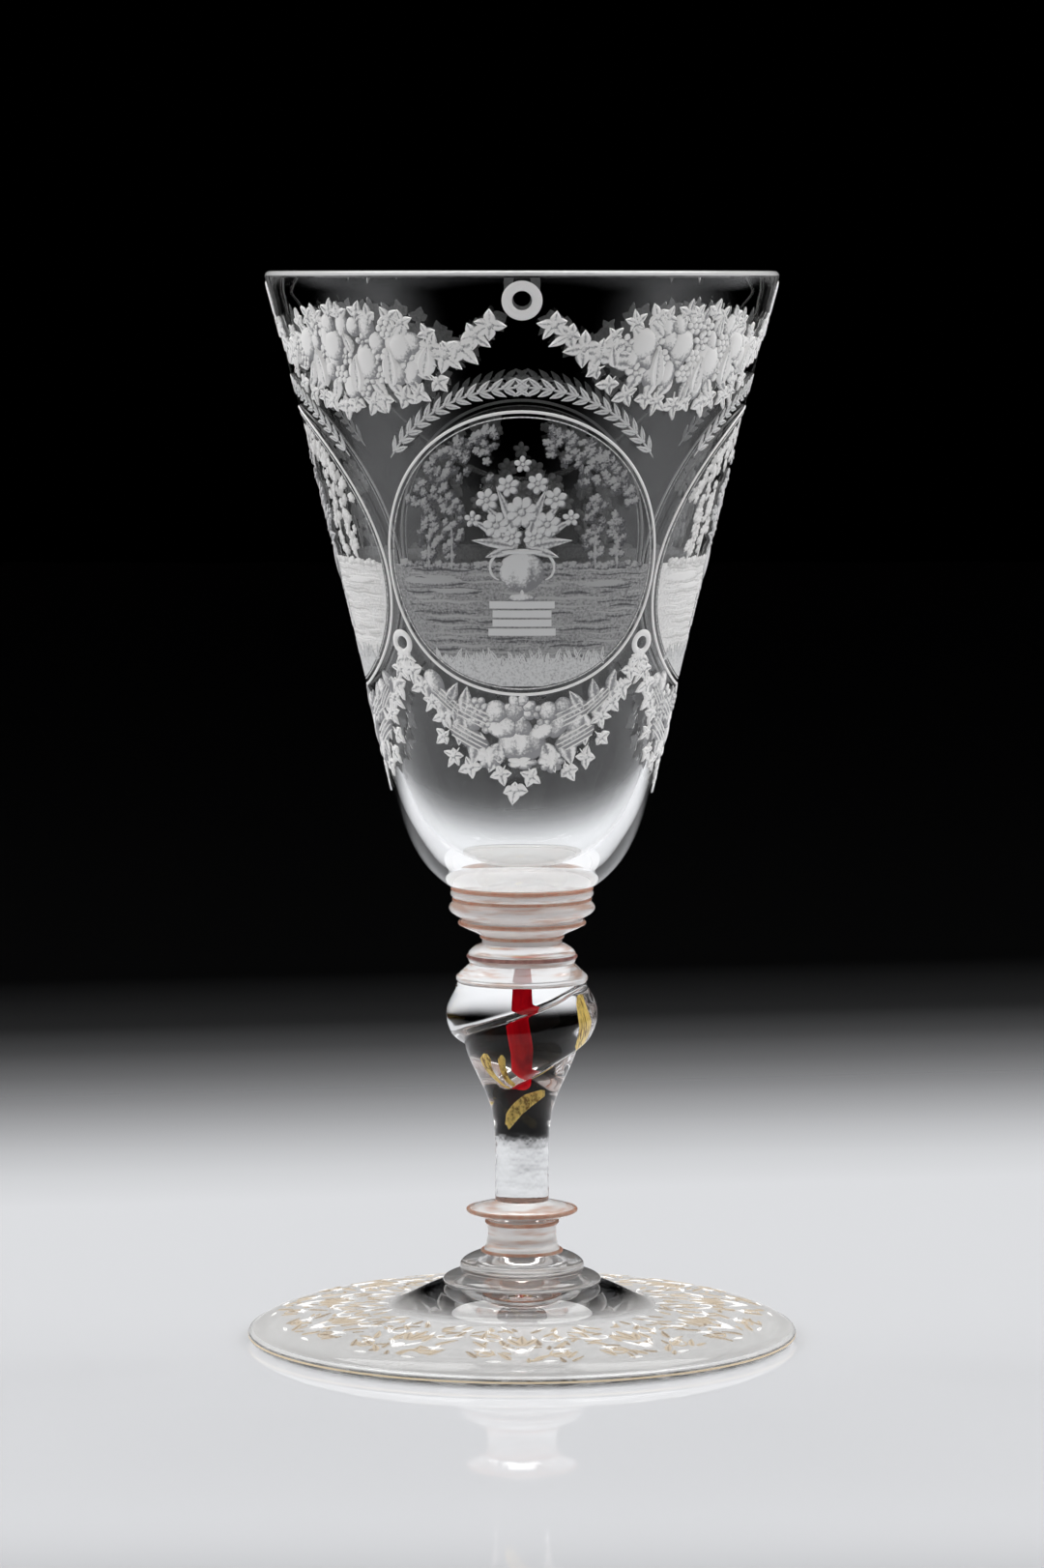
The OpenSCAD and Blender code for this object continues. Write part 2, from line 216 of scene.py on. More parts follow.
def blown_glass(name, ripple, stretch=(1, 1, 1), mirror=1.0, striae=None):
    """Clear old glass whose surface has the faint waves of hand work. Mirror is the share that is kept of
    what it reflects face on. Striae are finer waves: their strength, the height up to which they are full
    and the height at which they are gone."""
    material, tree, shader = new_material(
        name, Base_Color=(0.985, 0.99, 0.99, 1), Roughness=0.0, IOR=GLASS_IOR, Transmission_Weight=1.0,
        Specular_Tint=(mirror, mirror, mirror, 1))
    waves = grain(tree, 9.0, stretch, detail=1.5)
    if striae:
        strength, full, gone = striae
        axes = add_node(tree, "ShaderNodeSeparateXYZ", [("Vector", object_point(tree))])
        share = map_range(tree, axes.outputs["Z"],
                          From_Min=full * MM, From_Max=gone * MM, To_Min=strength, To_Max=0.0)
        fine = grain(tree, 2.2, (1, 1, 0.7), detail=2.0)
        waves = reckon(tree, "MULTIPLY_ADD", fine, share, waves)
    bump(tree, shader, waves, ripple, 0.25)
    return material


def blush_glass(name, dark, light, clear):
    """Glass of the collars, a little milky and streaked from the joining."""
    material, tree, shader = new_material(name, Roughness=0.03, IOR=GLASS_IOR, Transmission_Weight=clear)
    streak = grain(tree, 1.1, (0.12, 0.12, 1), detail=2.0)
    tones(tree, shader, streak, dark, light, 0.36, 0.52)
    return material


def ruby_glass(name, dark, light, clear, gloss=0.2):
    material, tree, shader = new_material(name, Roughness=0.3, IOR=GLASS_IOR, Specular_IOR_Level=gloss,
                                          Transmission_Weight=clear)
    tones(tree, shader, grain(tree, 2.0, (1, 1, 0.5)), dark, light)
    return material


def gold_leaf():
    """Crumpled gold leaf, painted darker in its creases and lighter on its ridges along its length, as
    painted shade and painted highlight. Sealed in glass, it has little gloss.
    """
    material, tree, shader = new_material("gold_leaf", Metallic=0.15, Roughness=0.38, Specular_IOR_Level=0.1)
    crumple_and_shade = grain(tree, 0.7, (1, 1, 0.4), detail=4.0, roughness=0.65)
    # Painted shade and highlight: the noise that bumps the leaf also colours it, darker where it is low.
    tones(tree, shader, crumple_and_shade, (0.28, 0.13, 0.01), (1.0, 0.74, 0.20), 0.38, 0.54)
    bump(tree, shader, crumple_and_shade, 0.6, 0.25)
    return material


def cut_glass(name, dark, light, cover, fades=False):
    """Wheel-cut glass: matt and faintly streaked, coloured by each point's value cut, its tone times its
    painted shade: lighter on a shape's top and upper left, darker at its edges and in its grooves. Where it
    fades, it is the more see-through the lower that value is."""
    material, tree, shader = new_material(name, Roughness=0.6, Specular_IOR_Level=0.3, Alpha=cover)
    streak = grain(tree, 0.5, detail=4.0, roughness=0.7)
    # The value cut carries the shapes' tone and painted shade, and on the foot's film its fade.
    depth = add_node(tree, "ShaderNodeAttribute", attribute_name="cut").outputs["Fac"]
    tones(tree, shader, reckon(tree, "MULTIPLY_ADD", streak, 0.8, depth), dark, light, 0.75, 1.0)
    if fades:
        tree.links.new(reckon(tree, "MULTIPLY", depth, cover), shader.inputs["Alpha"])
    bump(tree, shader, streak, 0.3, 0.08)
    return material


neck_low, neck_high = heights("baluster")

CLEAR = blown_glass("clear_glass", 0.01)
DRAWN = blown_glass("drawn_glass", 0.3, (1.4, 1.4, 0.8), 0.4, (1.3, neck_low + 14, neck_low + 24))
BLUSH = blush_glass("blush_glass", (0.80, 0.60, 0.51), (1.0, 1.0, 1.0), 0.5)
# Milky white glass on the bowl's lip and the foot's upper rim: a painted highlight for the bright line where
# the clear rim catches the light.
LIP_PAINTED_HIGHLIGHT = blush_glass("lip_painted_highlight", (0.94, 0.94, 0.94), (0.98, 0.98, 0.98), 0.45)
SPARKLING = blush_glass("sparkling_glass", (0.94, 0.86, 0.80), (0.99, 0.98, 0.97), 0.85)
# The fused face between two pieces of glass, which light crosses unchanged
JOINT = new_material("fused_joint", Alpha=0.0)[0]
# The fused face under the bowl: a near-white matt sheet, a painted glow for the pale floor seen through the
# bowl's base, which also hides the joints below
JOINT_PAINTED_GLOW = new_material("joint_painted_glow", Base_Color=(0.99, 0.985, 0.98, 1), Roughness=0.7, Alpha=0.92)[0]
RUBY_DEEP = ruby_glass("ruby_deep", (0.42, 0.0, 0.01), (1.0, 0.01, 0.02), 0.0, 0.0)
RUBY_DARK = ruby_glass("ruby_dark", (0.20, 0.09, 0.08), (0.52, 0.26, 0.22), 0.3)
RUBY_THIN = ruby_glass("ruby_thin", (0.86, 0.40, 0.26), (0.96, 0.70, 0.56), 0.7)
GOLD = gold_leaf()
# A thin tan line round the foot's rim
TAN_RIM = new_material("tan_rim", Base_Color=(0.82, 0.67, 0.47, 1), Roughness=0.45)[0]
CUT_BRIGHT = cut_glass("cut_bright", (0.32, 0.32, 0.33), (0.93, 0.92, 0.91), 1.0)
CUT_FAINT = cut_glass("cut_faint", (0.26, 0.26, 0.27), (0.78, 0.78, 0.78), 0.85)
CUT_SOFT = cut_glass("cut_soft", (0.14, 0.14, 0.15), (0.58, 0.58, 0.58), 0.65)
# The garden's matt ground painted paler and less see-through, as painted side light, for the two medallions
# at the goblet's sides.
CUT_SOFT_PAINTED_LIT = cut_glass("cut_soft_painted_lit", (0.66, 0.65, 0.64), (0.93, 0.92, 0.91), 0.9)
# Underside of the engraving, inside the glass: the same matt glass painted dark, as painted shade.
CUT_UNDER_SHADED = cut_glass("cut_under_shaded", (0.15, 0.15, 0.15), (0.27, 0.27, 0.27), 0.85)
# Matt glass tinted tan, for some of the foot's leaves.
CUT_TAN = cut_glass("cut_tan", (0.28, 0.22, 0.16), (0.56, 0.47, 0.36), 0.85)
CUT_FILM = cut_glass("cut_film", (0.80, 0.78, 0.76), (0.95, 0.94, 0.93), 0.375, True)
# Matt white of the foot's white leaves, partly their own white and partly a painted highlight: bright enough
# to stand in for glints.
CUT_WHITE_AND_GLINT = cut_glass("cut_white_and_glint", (0.62, 0.61, 0.60), (0.97, 0.96, 0.95), 0.9)


# Pieces

SHARP_FROM = 50


def add_object(name, data):
    made = bpy.data.objects.new(name, data)
    bpy.context.scene.collection.objects.link(made)
    return made


def add_piece(name, points, faces, materials, stands_for=(), kinds=None, shades=True):
    """A smooth mesh in the frame, from points in millimetres, that rides on the goblet."""
    mesh = bpy.data.meshes.new(name)
    mesh.from_pydata([tuple(c * MM for c in p) for p in points], [], faces)
    for material in materials:
        mesh.materials.append(material)
    if kinds is not None:
        mesh.polygons.foreach_set("material_index", kinds)
    mesh.polygons.foreach_set("use_smooth", [True] * len(mesh.polygons))
    mesh.set_sharp_from_angle(angle=radians(SHARP_FROM))
    mesh.update()
    piece = add_object(name, mesh)
    piece.visible_shadow = shades
    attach(piece, "root")
    if stands_for:
        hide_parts(*stands_for)
    return piece


def lathe(name, outline, joints, stands_for=(), skin=None, shades=False):
    """A closed turned piece. The outline runs from the axis below, round the outside, to the axis
    above. The stretches numbered in joints are fused faces."""
    points, rows = [], []
    for r, z in outline:
        count = SIDES if r > 0 else 1
        rows.append(range(len(points), len(points) + count))
        points += [(*point_from(0, 0, r, 360 * j / SIDES), z) for j in range(count)]
    faces, kinds = [], []
    for number, (low, high) in enumerate(zip(rows, rows[1:])):
        for j in range(SIDES):
            k = (j + 1) % SIDES
            corners = (low[j % len(low)], low[k % len(low)], high[k % len(high)], high[j % len(high)])
            faces.append(tuple(dict.fromkeys(corners)))
            kinds.append(int(number in joints))
    return add_piece(name, points, faces, [skin or CLEAR, JOINT], stands_for, kinds, shades)


def turned(node, side):
    """A piece fused to its neighbours at its flat top and bottom."""
    outline = [(0, side[0][1]), *side, (0, side[-1][1])]
    skin = SPARKLING if node.endswith("_button") else BLUSH
    return lathe(node + "_glass", outline, {0, len(outline) - 2}, [node], skin, True)


# Bowl

WALL = 2.0
BASE_T = 2.4
HOLLOW_H = 30.0
HOLLOW_R = 25.6
BELLY_R = 26.0
BELLY_H = 21.5
BELLY_LEAN = 12.7
RIM_LEAN = 15.1
RIM_R = 50.1
BOWL_JOINT_R = 13.6
GLOW_SHEET_RISE = 0.1
GROOVE_R = 12.9
GROOVE_H = 0.46
LIP_H = 0.9

bowl_low, bowl_high = heights("bowl")
bowl_h = bowl_high - bowl_low
belly_way = up_at(BELLY_LEAN)
rim_way = up_at(RIM_LEAN)
rim_across = np.array(point_from(0, 0, WALL / 2, -RIM_LEAN))
rim_mid = np.array([RIM_R - WALL / 2, bowl_h - WALL / 2])
rim_out = rim_mid + rim_across
rim_in = rim_mid - rim_across
belly = np.array([BELLY_R, BELLY_H])
hollow = np.array([HOLLOW_R, HOLLOW_H])


def bowl_outside():
    reach = (bowl_h - BELLY_H) / 3
    base = curve((BOWL_JOINT_R, 0), (mix(BOWL_JOINT_R, BELLY_R, 0.44), BELLY_H * 0.16),
                 belly - BELLY_H * 0.6 * belly_way, belly)
    side = curve(belly, belly + reach * belly_way, rim_out - reach * rim_way, rim_out)
    return base + side[1:]


def bowl_inside():
    reach = (bowl_h - HOLLOW_H) / 3
    side = curve(rim_in, rim_in - reach * rim_way, hollow + reach * belly_way, hollow)
    base = curve(hollow, hollow - (HOLLOW_H - BASE_T) * 0.64 * belly_way, (HOLLOW_R * 0.63, BASE_T),
                 (0, BASE_T), 48)
    return side[1:] + base[1:]


def lift(outline, z):
    return [(r, z + h) for r, h in outline]


bowl_skin = lift(bowl_outside(), bowl_low)


def make_bowl():
    lip = arc(rim_mid, WALL / 2, -RIM_LEAN, 180 - RIM_LEAN)
    glow_sheet = [(0, GLOW_SHEET_RISE), (GROOVE_R, GLOW_SHEET_RISE), (GROOVE_R, GROOVE_H)]
    skin = [(r, z) for r, z in bowl_outside() if z > GROOVE_H]
    bowl = lathe("bowl_glass", lift(glow_sheet + skin + lip[1:] + bowl_inside(), bowl_low), {0, 1, 2}, ["bowl"])
    # The fused face under the bowl gets the near-white sheet, a painted glow.
    bowl.data.materials[1] = JOINT_PAINTED_GLOW
    bowl.data.materials.append(LIP_PAINTED_HIGHLIGHT)
    # The lip's faces get the milky glass, a painted highlight.
    for face in bowl.data.polygons:
        if face.center.z > (bowl_high - LIP_H) * MM:
            face.material_index = 2


# Collars, spool and buttons

MIDDLE_JOINT_R = 13.3
LOWER_JOINT_R = 11.9
WAIST_R = 7.9
FLARE_JOINT_R = 10.2
SHOULDER_R = 13.0
SHOULDER_ROUND = 0.22
BALUSTER_TOP_R = 12.6
NECK_R = 5.3
SPOOL_TOP_R = 6.9
SPOOL_WAIST_R = 6.7
SPOOL_BASE_R = 7.7
BUTTON_JOINT_R = 12.0
FOOT_JOINT_R = 15.2

# Each swelling piece: radii of its lower joint, rim and upper joint, height of the rim as a share of
# the piece's height, and sharpness of the rim
SWELLING = {
    "upper_wafer": (MIDDLE_JOINT_R, 14.1, BOWL_JOINT_R, 0.55, 0.9),
    "middle_wafer": (LOWER_JOINT_R, 14.4, MIDDLE_JOINT_R, 0.55, 0.9),
    "lower_wafer": (WAIST_R, 12.4, LOWER_JOINT_R, 0.75, 0.9),
    "flared_collar": (FLARE_JOINT_R, 10.7, WAIST_R, 0.35, 0.75),
    "thin_disc": (SPOOL_TOP_R, 10.8, NECK_R, 0.56, 1.5),
    "upper_button": (BUTTON_JOINT_R, 12.3, SPOOL_BASE_R, 0.26, 0.8),
    "lower_button": (FOOT_JOINT_R, 15.6, BUTTON_JOINT_R, 0.2, 0.8),
}

shoulder_low, shoulder_high = heights("shoulder")
shoulder_edge = (shoulder_high - shoulder_low) * SHOULDER_ROUND


def make_collars():
    for node, (bottom, rim, top, rim_at, sharp) in SWELLING.items():
        turned(node, swell(*heights(node), bottom, rim, top, rim_at, sharp))
    low, high = heights("waist_band")
    turned("waist_band", [(WAIST_R, low), (WAIST_R, high)])
    round_mid = (SHOULDER_R - shoulder_edge, shoulder_low + shoulder_edge)
    turned("shoulder", arc(round_mid, shoulder_edge, -90, 45) + [(FLARE_JOINT_R, shoulder_high)])
    low, high = heights("spool")
    turned("spool", curve((SPOOL_BASE_R, low), (SPOOL_WAIST_R, mix(low, high, 0.25)),
                          (SPOOL_WAIST_R, mix(low, high, 0.7)), (SPOOL_TOP_R, high)))


# Baluster

BULB_R = 14.9
BULB_AT = 36.8
TAPER_R = 8.9
TAPER_H = 25.1
TAPER_LEAN = 26
NECK_H = 10.8
NECK_RINGS = 12
STRETCH_STEPS = 40
CREASE_STARTS = 2
CREASE_LEAD = 27.0
CREASE_DEPTH = 1.6
CREASE_AT = 31.0
CREASE_FROM = 16.0
CREASE_FULL = 28.0
# Share of the crown in which the creases end
CREASE_END = 0.3
CREASE_ROLL = 60
CREASE_RISE = 170

baluster_h = neck_high - neck_low
crown_rise = baluster_h - BULB_AT


def baluster_outline():
    taper_rise = TAPER_H - NECK_H
    bulb_rise = BULB_AT - TAPER_H
    taper_top = np.array([TAPER_R, TAPER_H])
    taper_way = up_at(TAPER_LEAN)
    neck = [(NECK_R, z) for z in np.linspace(0, NECK_H, NECK_RINGS)]
    taper = curve((NECK_R, NECK_H), (NECK_R, NECK_H + taper_rise * 0.45),
                  taper_top - taper_rise * 0.31 * taper_way, taper_top, STRETCH_STEPS)
    bulb = curve(taper_top, taper_top + bulb_rise * 0.31 * taper_way,
                 (BULB_R, BULB_AT - bulb_rise * 0.31), (BULB_R, BULB_AT), STRETCH_STEPS)
    crown = curve((BULB_R, BULB_AT), (BULB_R, BULB_AT + crown_rise * 0.45),
                  (mix(BALUSTER_TOP_R, BULB_R, 0.5), baluster_h - crown_rise * 0.21),
                  (BALUSTER_TOP_R, baluster_h), STRETCH_STEPS)
    return neck + taper[1:] + bulb[1:] + crown[1:]


def crease(angle, z):
    """Depth of the spiral creases: the lobe above rolls over into one, the lobe below leaves it slowly."""
    phase = CREASE_STARTS * (angle - 360 * (z - CREASE_AT) / CREASE_LEAD)
    past = phase - 360 * np.round(phase / 360)
    away = np.where(past < 0, -past / CREASE_ROLL, past / CREASE_RISE)
    begun = ease(CREASE_FROM, CREASE_FULL, z)
    ended = ease(baluster_h - crown_rise * CREASE_END, baluster_h, z)
    return CREASE_DEPTH * begun * (1 - ended) * np.maximum(0, 1 - away) ** 2


def make_baluster():
    rings = baluster_outline() + [(SHOULDER_R - shoulder_edge, baluster_h)]
    angles = np.linspace(0, 360, SIDES, endpoint=False)
    points = []
    for r, z in rings:
        radii = r - crease(angles, z)
        points += [(*point_from(0, 0, radius, a), neck_low + z) for radius, a in zip(radii, angles)]
    faces = tube(len(rings), SIDES)
    kinds = [0] * (len(faces) - 2) + [1, 1]
    add_piece("baluster_glass", points, faces, [DRAWN, JOINT], ["baluster"], kinds, False)


# Ruby and gold inside the baluster

BEAD_H = 24.0
BEAD_R = 1.7
BEAD_STEPS = 24
INCLUSION_GAP = 0.4
RIBBON_W = 2.9
RIBBON_T = 1.0
RIBBON_TURN = 70
STRIP_T = 0.4
# Size of a strip's ends as a share of its own, and how fast it grows from there
STRIP_END = 0.25
STRIP_GROWTH = 6
# Each gold strip: direction at the bead, turn on its way up, glass between it and the bead's round, reach
# from the axis at its upper end, heights of its ends as shares of the way from the bead to the top, and
# its widths there
STRIPS = (
    (186, 20, 0.3, 6.0, -0.02, 0.37, 1.0, 3.0),
    (215, 10, 0.3, 4.2, 0.01, 0.38, 0.9, 1.6),
    (320, 16, 0.5, 5.4, 0.03, 0.20, 0.8, 1.2),
    (352, 10, 7.3, 9.0, 0.38, 0.76, 4.0, 5.5),
)
TAIL_W = 2.6
TAIL_T = 0.7
TAIL_FOOT = (-1.7, 14.4)
TAIL_HEAD = (2.9, 22.8)
TAIL_POINT = 0.2
TAIL_SWELL = 120
TAIL_TURN = 40


def drawn_strip(name, centre, width, thick, facing, material, node, rings=40, around=12):
    """A strip of flat oval cross-section. Centre, width and facing follow the share t of its length."""
    points = []
    turns = np.linspace(0, 2 * pi, around, endpoint=False)
    for t in np.linspace(0, 1, rings):
        x, y, z = centre(t)
        taper = min(1, STRIP_GROWTH * t + STRIP_END, STRIP_GROWTH * (1 - t) + STRIP_END)
        across = width(t) / 2 * taper * np.cos(turns)
        along = thick / 2 * taper * np.sin(turns)
        points += list(turned_places(across, along, neck_low + z, x, y, facing(t)))
    add_piece(name, points, tube(rings, around), [material], [node])


def make_ruby():
    low = BEAD_H + BEAD_R + INCLUSION_GAP
    high = baluster_h - 2 * INCLUSION_GAP
    drawn_strip("ruby_ribbon_drawn", lambda t: (0, 0, mix(low, high, t)), lambda t: RIBBON_W, RIBBON_T,
                lambda t: RIBBON_TURN * (t - 0.5), RUBY_DEEP, "ruby_ribbon")
    outline = arc((0, neck_low + BEAD_H), BEAD_R, -90, 90, BEAD_STEPS)
    outline[0] = (0, outline[0][1])
    outline[-1] = (0, outline[-1][1])
    bead = lathe("ruby_bead_round", outline, set(), ["ruby_bead"])
    bead.data.materials[0] = RUBY_DEEP


def make_strip(node, first, turn, apart, out_r, low, high, low_w, high_w):
    """A gold strip that spreads from the bead into the bulb."""
    def angle(t):
        return first + turn * t

    def centre(t):
        reach = mix(BEAD_R + apart, out_r, sin(radians(90 * t)))
        return *point_from(0, 0, reach, angle(t)), mix(BEAD_H, baluster_h, mix(low, high, t))

    drawn_strip(node + "_leaf", centre, lambda t: mix(low_w, high_w, t), STRIP_T, lambda t: angle(t) + 90,
                GOLD, node)


def make_gold():
    for number, strip in enumerate(STRIPS, 1):
        make_strip(f"gold_strip_{number}", *strip)
    drawn_strip("gold_tail_leaf",
                lambda t: (mix(TAIL_FOOT[0], TAIL_HEAD[0], t * t), 0, mix(TAIL_FOOT[1], TAIL_HEAD[1], t)),
                lambda t: TAIL_W * mix(TAIL_POINT, 1, sin(radians(TAIL_SWELL * t))), TAIL_T,
                lambda t: TAIL_TURN * (t - 0.5), GOLD, "gold_tail")


def dress_threads():
    for name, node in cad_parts.items():
        if name.startswith("ruby_thread"):
            node.data.materials.clear()
            node.data.materials.append(RUBY_DARK if name == "ruby_thread_collar" else RUBY_THIN)


# Foot

FOOT_R = 54.2
FOOT_EDGE_T = 2.0
STAND_W = 1.4
PLATE_R = 27.0
PLATE_H = 6.4
PLATE_T = 2.6
PLATE_STEPS = 48
KICK_H = 8.0
PONTIL_R = 8.0
PONTIL_D = 0.7
# Heights between which the rim is tan
TAN_LINE = (0.75, 1.2)
# Height from which the rim is painted pale with milky glass, a painted glint
GLINT_FROM = 1.5

foot_high = heights("foot")[1]
foot_edge = np.array([FOOT_R - FOOT_EDGE_T / 2, FOOT_EDGE_T / 2])
plate_run = foot_edge[0] - PLATE_R
plate_rise = PLATE_H - FOOT_EDGE_T
dome_run = PLATE_R - FOOT_JOINT_R
dome_rise = foot_high - PLATE_H
plate_edge = np.array([PLATE_R, PLATE_H])


def foot_top():
    edge_top = foot_edge + (0, FOOT_EDGE_T / 2)
    seat = np.array([FOOT_JOINT_R, foot_high])
    plate = curve(edge_top, edge_top + (-plate_run * 0.14, plate_rise * 0.68),
                  plate_edge + (plate_run * 0.5, -plate_rise * 0.14), plate_edge, PLATE_STEPS)
    dome = curve(plate_edge, plate_edge + (-dome_run * 0.25, dome_rise * 0.04),
                 seat + (dome_run * 0.45, -dome_rise * 0.3), seat)
    return plate + dome[1:]


def make_foot():
    stand_in = foot_edge - (STAND_W, FOOT_EDGE_T / 2)
    kick = np.array([PONTIL_R, KICK_H])
    plate_under = plate_edge - (0, PLATE_T)
    pontil = curve((0, KICK_H + PONTIL_D), (PONTIL_R * 0.55, KICK_H + PONTIL_D),
                   (PONTIL_R * 0.8, KICK_H + PONTIL_D * 0.4), kick)
    dome_under = curve(kick, kick + (dome_run * 0.85, 0),
                       plate_under + (-dome_run * 0.35, dome_rise * 0.05), plate_under)
    under = curve(plate_under, plate_under + (plate_run * 0.5, -plate_rise * 0.14),
                  stand_in + (-plate_run * 0.14, plate_rise * 0.5), stand_in, PLATE_STEPS)
    edge = arc(foot_edge, FOOT_EDGE_T / 2, -90, 90)
    outline = pontil + dome_under[1:] + under[1:] + edge + foot_top()[1:] + [(0, foot_high)]
    foot = lathe("foot_glass", outline, {len(outline) - 2}, ["foot"])
    foot.data.materials.append(TAN_RIM)
    foot.data.materials.append(LIP_PAINTED_HIGHLIGHT)
    for face in foot.data.polygons:
        if face.center.xy.length > foot_edge[0] * MM:
            height = face.center.z / MM
            if TAN_LINE[0] < height < TAN_LINE[1]:
                face.material_index = 2
            # Higher up, the rim gets the milky glass as a painted glint.
            elif height > GLINT_FROM:
                face.material_index = 3


make_bowl()
make_collars()
make_baluster()
make_ruby()
make_gold()
dress_threads()
make_foot()


# Engraving

# How deep a shape's edge lies under the skin, how high a thin field lies on it, and how far along the skin
# its slope is measured
SUNK = 0.06
FIELD_LIFT = 0.04
SLOPE_STEP = 0.3
DOME_RINGS = 5
# Light on a fruit: by height, from above, from the left, and the least. Height left between its ribs, and
# depth and sharpness of the notches between its lobes.
LIT_BY_HEIGHT = 0.72
LIT_FROM_ABOVE = 0.4
LIT_FROM_LEFT = 0.3
LEAST_LIT = 0.25
RIB_LOW = 0.45
NOTCH_DEPTH = 0.6
NOTCH_SHARP = 0.6
LEAF_STATIONS = 8
# Sections of a leaf and of a line: place across, height as a share of the lift, or 0 for a sunk edge, and
# the leaf's painted shade there: darker at its sunk edges and in its midrib groove, lighter on its left side
# than on its right
LEAF_SECTION = ((-1, 0, 0.5), (-0.55, 1, 1.0325), (0, 0.65, 0.45), (0.55, 1, 0.8675), (1, 0, 0.5))
LINE_SECTION = ((-0.5, 0), (-0.3, 0.75), (0, 1), (0.3, 0.75), (0.5, 0))


class Relief:
    """Closed raised shapes on a turned skin, gathered into one piece. Places are in millimetres along
    the skin from a middle point: x round it and y up it. Turns are in degrees, anticlockwise."""

    def __init__(self, skin, angle, axis, value):
        self.path = np.array(skin)
        steps = np.hypot(*np.diff(self.path, axis=0).T)
        self.along = np.concatenate([[0], np.cumsum(steps)])
        order = np.argsort(self.path[:, axis])
        self.start = np.interp(value, self.path[order, axis], self.along[order])
        self.angle = radians(angle)
        self.points, self.tones, self.faces, self.kinds = [], [], [], []

    def on_skin(self, s):
        return np.array([np.interp(s, self.along, values) for values in self.path.T])

    def place(self, x, y, height):
        """Points in the frame for places on the skin and heights above it."""
        s = self.start + y
        r, z = self.on_skin(s)
        run, rise = self.on_skin(s + SLOPE_STEP) - self.on_skin(s - SLOPE_STEP)
        size = np.hypot(run, rise)
        out_r = r + height * rise / size
        out_z = z - height * run / size
        angle = self.angle + x / r
        return np.stack([out_r * np.cos(angle), out_r * np.sin(angle), out_z], axis=-1)

    def add(self, places, tone, top, under):
        """A closed shape from its places, with the faces of its top and of its underside."""
        first = len(self.points)
        x, y, height = np.array(places, float).T
        self.points += [tuple(p) for p in self.place(x, y, height)]
        self.tones += list(np.broadcast_to(tone, len(x)))
        for kind, faces in ((0, top), (1, under)):
            self.faces += [tuple(first + corner for corner in face) for face in faces]
            self.kinds += [kind] * len(faces)

    def dome(self, x, y, wide, tall, turn=0, lift=0.35, lobes=0, cut=0.3, ribs=0, tone=1.0):
        """A round fruit or flower with the given half sizes, scalloped by lobes or striped by ribs."""
        spokes = max(18, lobes * 8)
        around = np.linspace(0, 2 * pi, spokes, endpoint=False)
        notch = 1 - np.abs(np.cos(lobes * around / 2)) ** NOTCH_SHARP
        edge = 1 - cut * notch
        c, s = point_from(0, 0, 1, turn)
        right = c * np.cos(around) - s * np.sin(around)
        upward = s * np.cos(around) + c * np.sin(around)
        places, shade = [(0, 0, lift)], [tone * 0.85]
        for ring in range(1, DOME_RINGS + 1):
            out = ring / DOME_RINGS
            u = out * np.cos(around)
            v = out * np.sin(around)
            hill = sqrt(1 - out * out) * np.ones(spokes)
            if ribs:
                middle = np.clip(u / np.sqrt(np.maximum(1e-6, 1 - v * v)), -1, 1)
                hill = hill * mix(RIB_LOW, 1, np.abs(np.cos(ribs * np.arcsin(middle))))
            if lobes:
                hill = hill * (1 - NOTCH_DEPTH * out * notch)
            height = lift * hill if ring < DOME_RINGS else np.full(spokes, -SUNK)
            places += zip(wide * u * edge, tall * v * edge, height)
            # Painted light and shade: each ring of a fruit is coloured lighter on its top and towards its
            # upper left, and darker at its lower right edge.
            beside = LIT_FROM_ABOVE * upward - LIT_FROM_LEFT * right
            shade += list(tone * mix(LEAST_LIT, 1, np.clip(LIT_BY_HEIGHT * hill + out * beside, 0, 1)))
        places.append((0, 0, -SUNK))
        shade.append(tone * 0.7)
        last = 1 + (DOME_RINGS - 1) * spokes
        top = flipped(net(DOME_RINGS, spokes, 1, rings=True))
        under = []
        for j in range(spokes):
            k = (j + 1) % spokes
            top.append((0, 1 + j, 1 + k))
            under.append((last + spokes, last + k, last + j))
        self.add(turned_places(*np.array(places).T, x, y, turn), shade, top, under)

    def leaf(self, x, y, length, width, turn, lift=0.28, tone=1.0, bend=0.0):
        """A pointed leaf from its base, with a groove for its midrib."""
        places, shade = [(0, 0, -SUNK)], [tone * 0.75]
        for t in np.linspace(0, 1, LEAF_STATIONS + 2)[1:-1]:
            half = width / 2 * sin(pi * t ** 0.75)
            # Painted shade of the leaf, from LEAF_SECTION.
            for across, rise, lit in LEAF_SECTION:
                height = lift * rise if rise else -SUNK
                places.append((half * across + bend * length * t * t, length * t, height))
                shade.append(tone * lit)
        places.append((bend * length, length, -SUNK))
        shade.append(tone * 0.9)
        wide = len(LEAF_SECTION)
        end = 1 + LEAF_STATIONS * wide
        top = net(LEAF_STATIONS, wide, 1)
        for j in range(wide - 1):
            top.append((0, 2 + j, 1 + j))
            top.append((end - wide + j, end - wide + j + 1, end))
        under = [(0, 1, wide), (end, end - 1, end - wide)]
        for low in range(1, end - wide, wide):
            under.append((low, low + wide, low + 2 * wide - 1, low + wide - 1))
        self.add(turned_places(*np.array(places).T, x, y, turn - 90), shade, top, under)

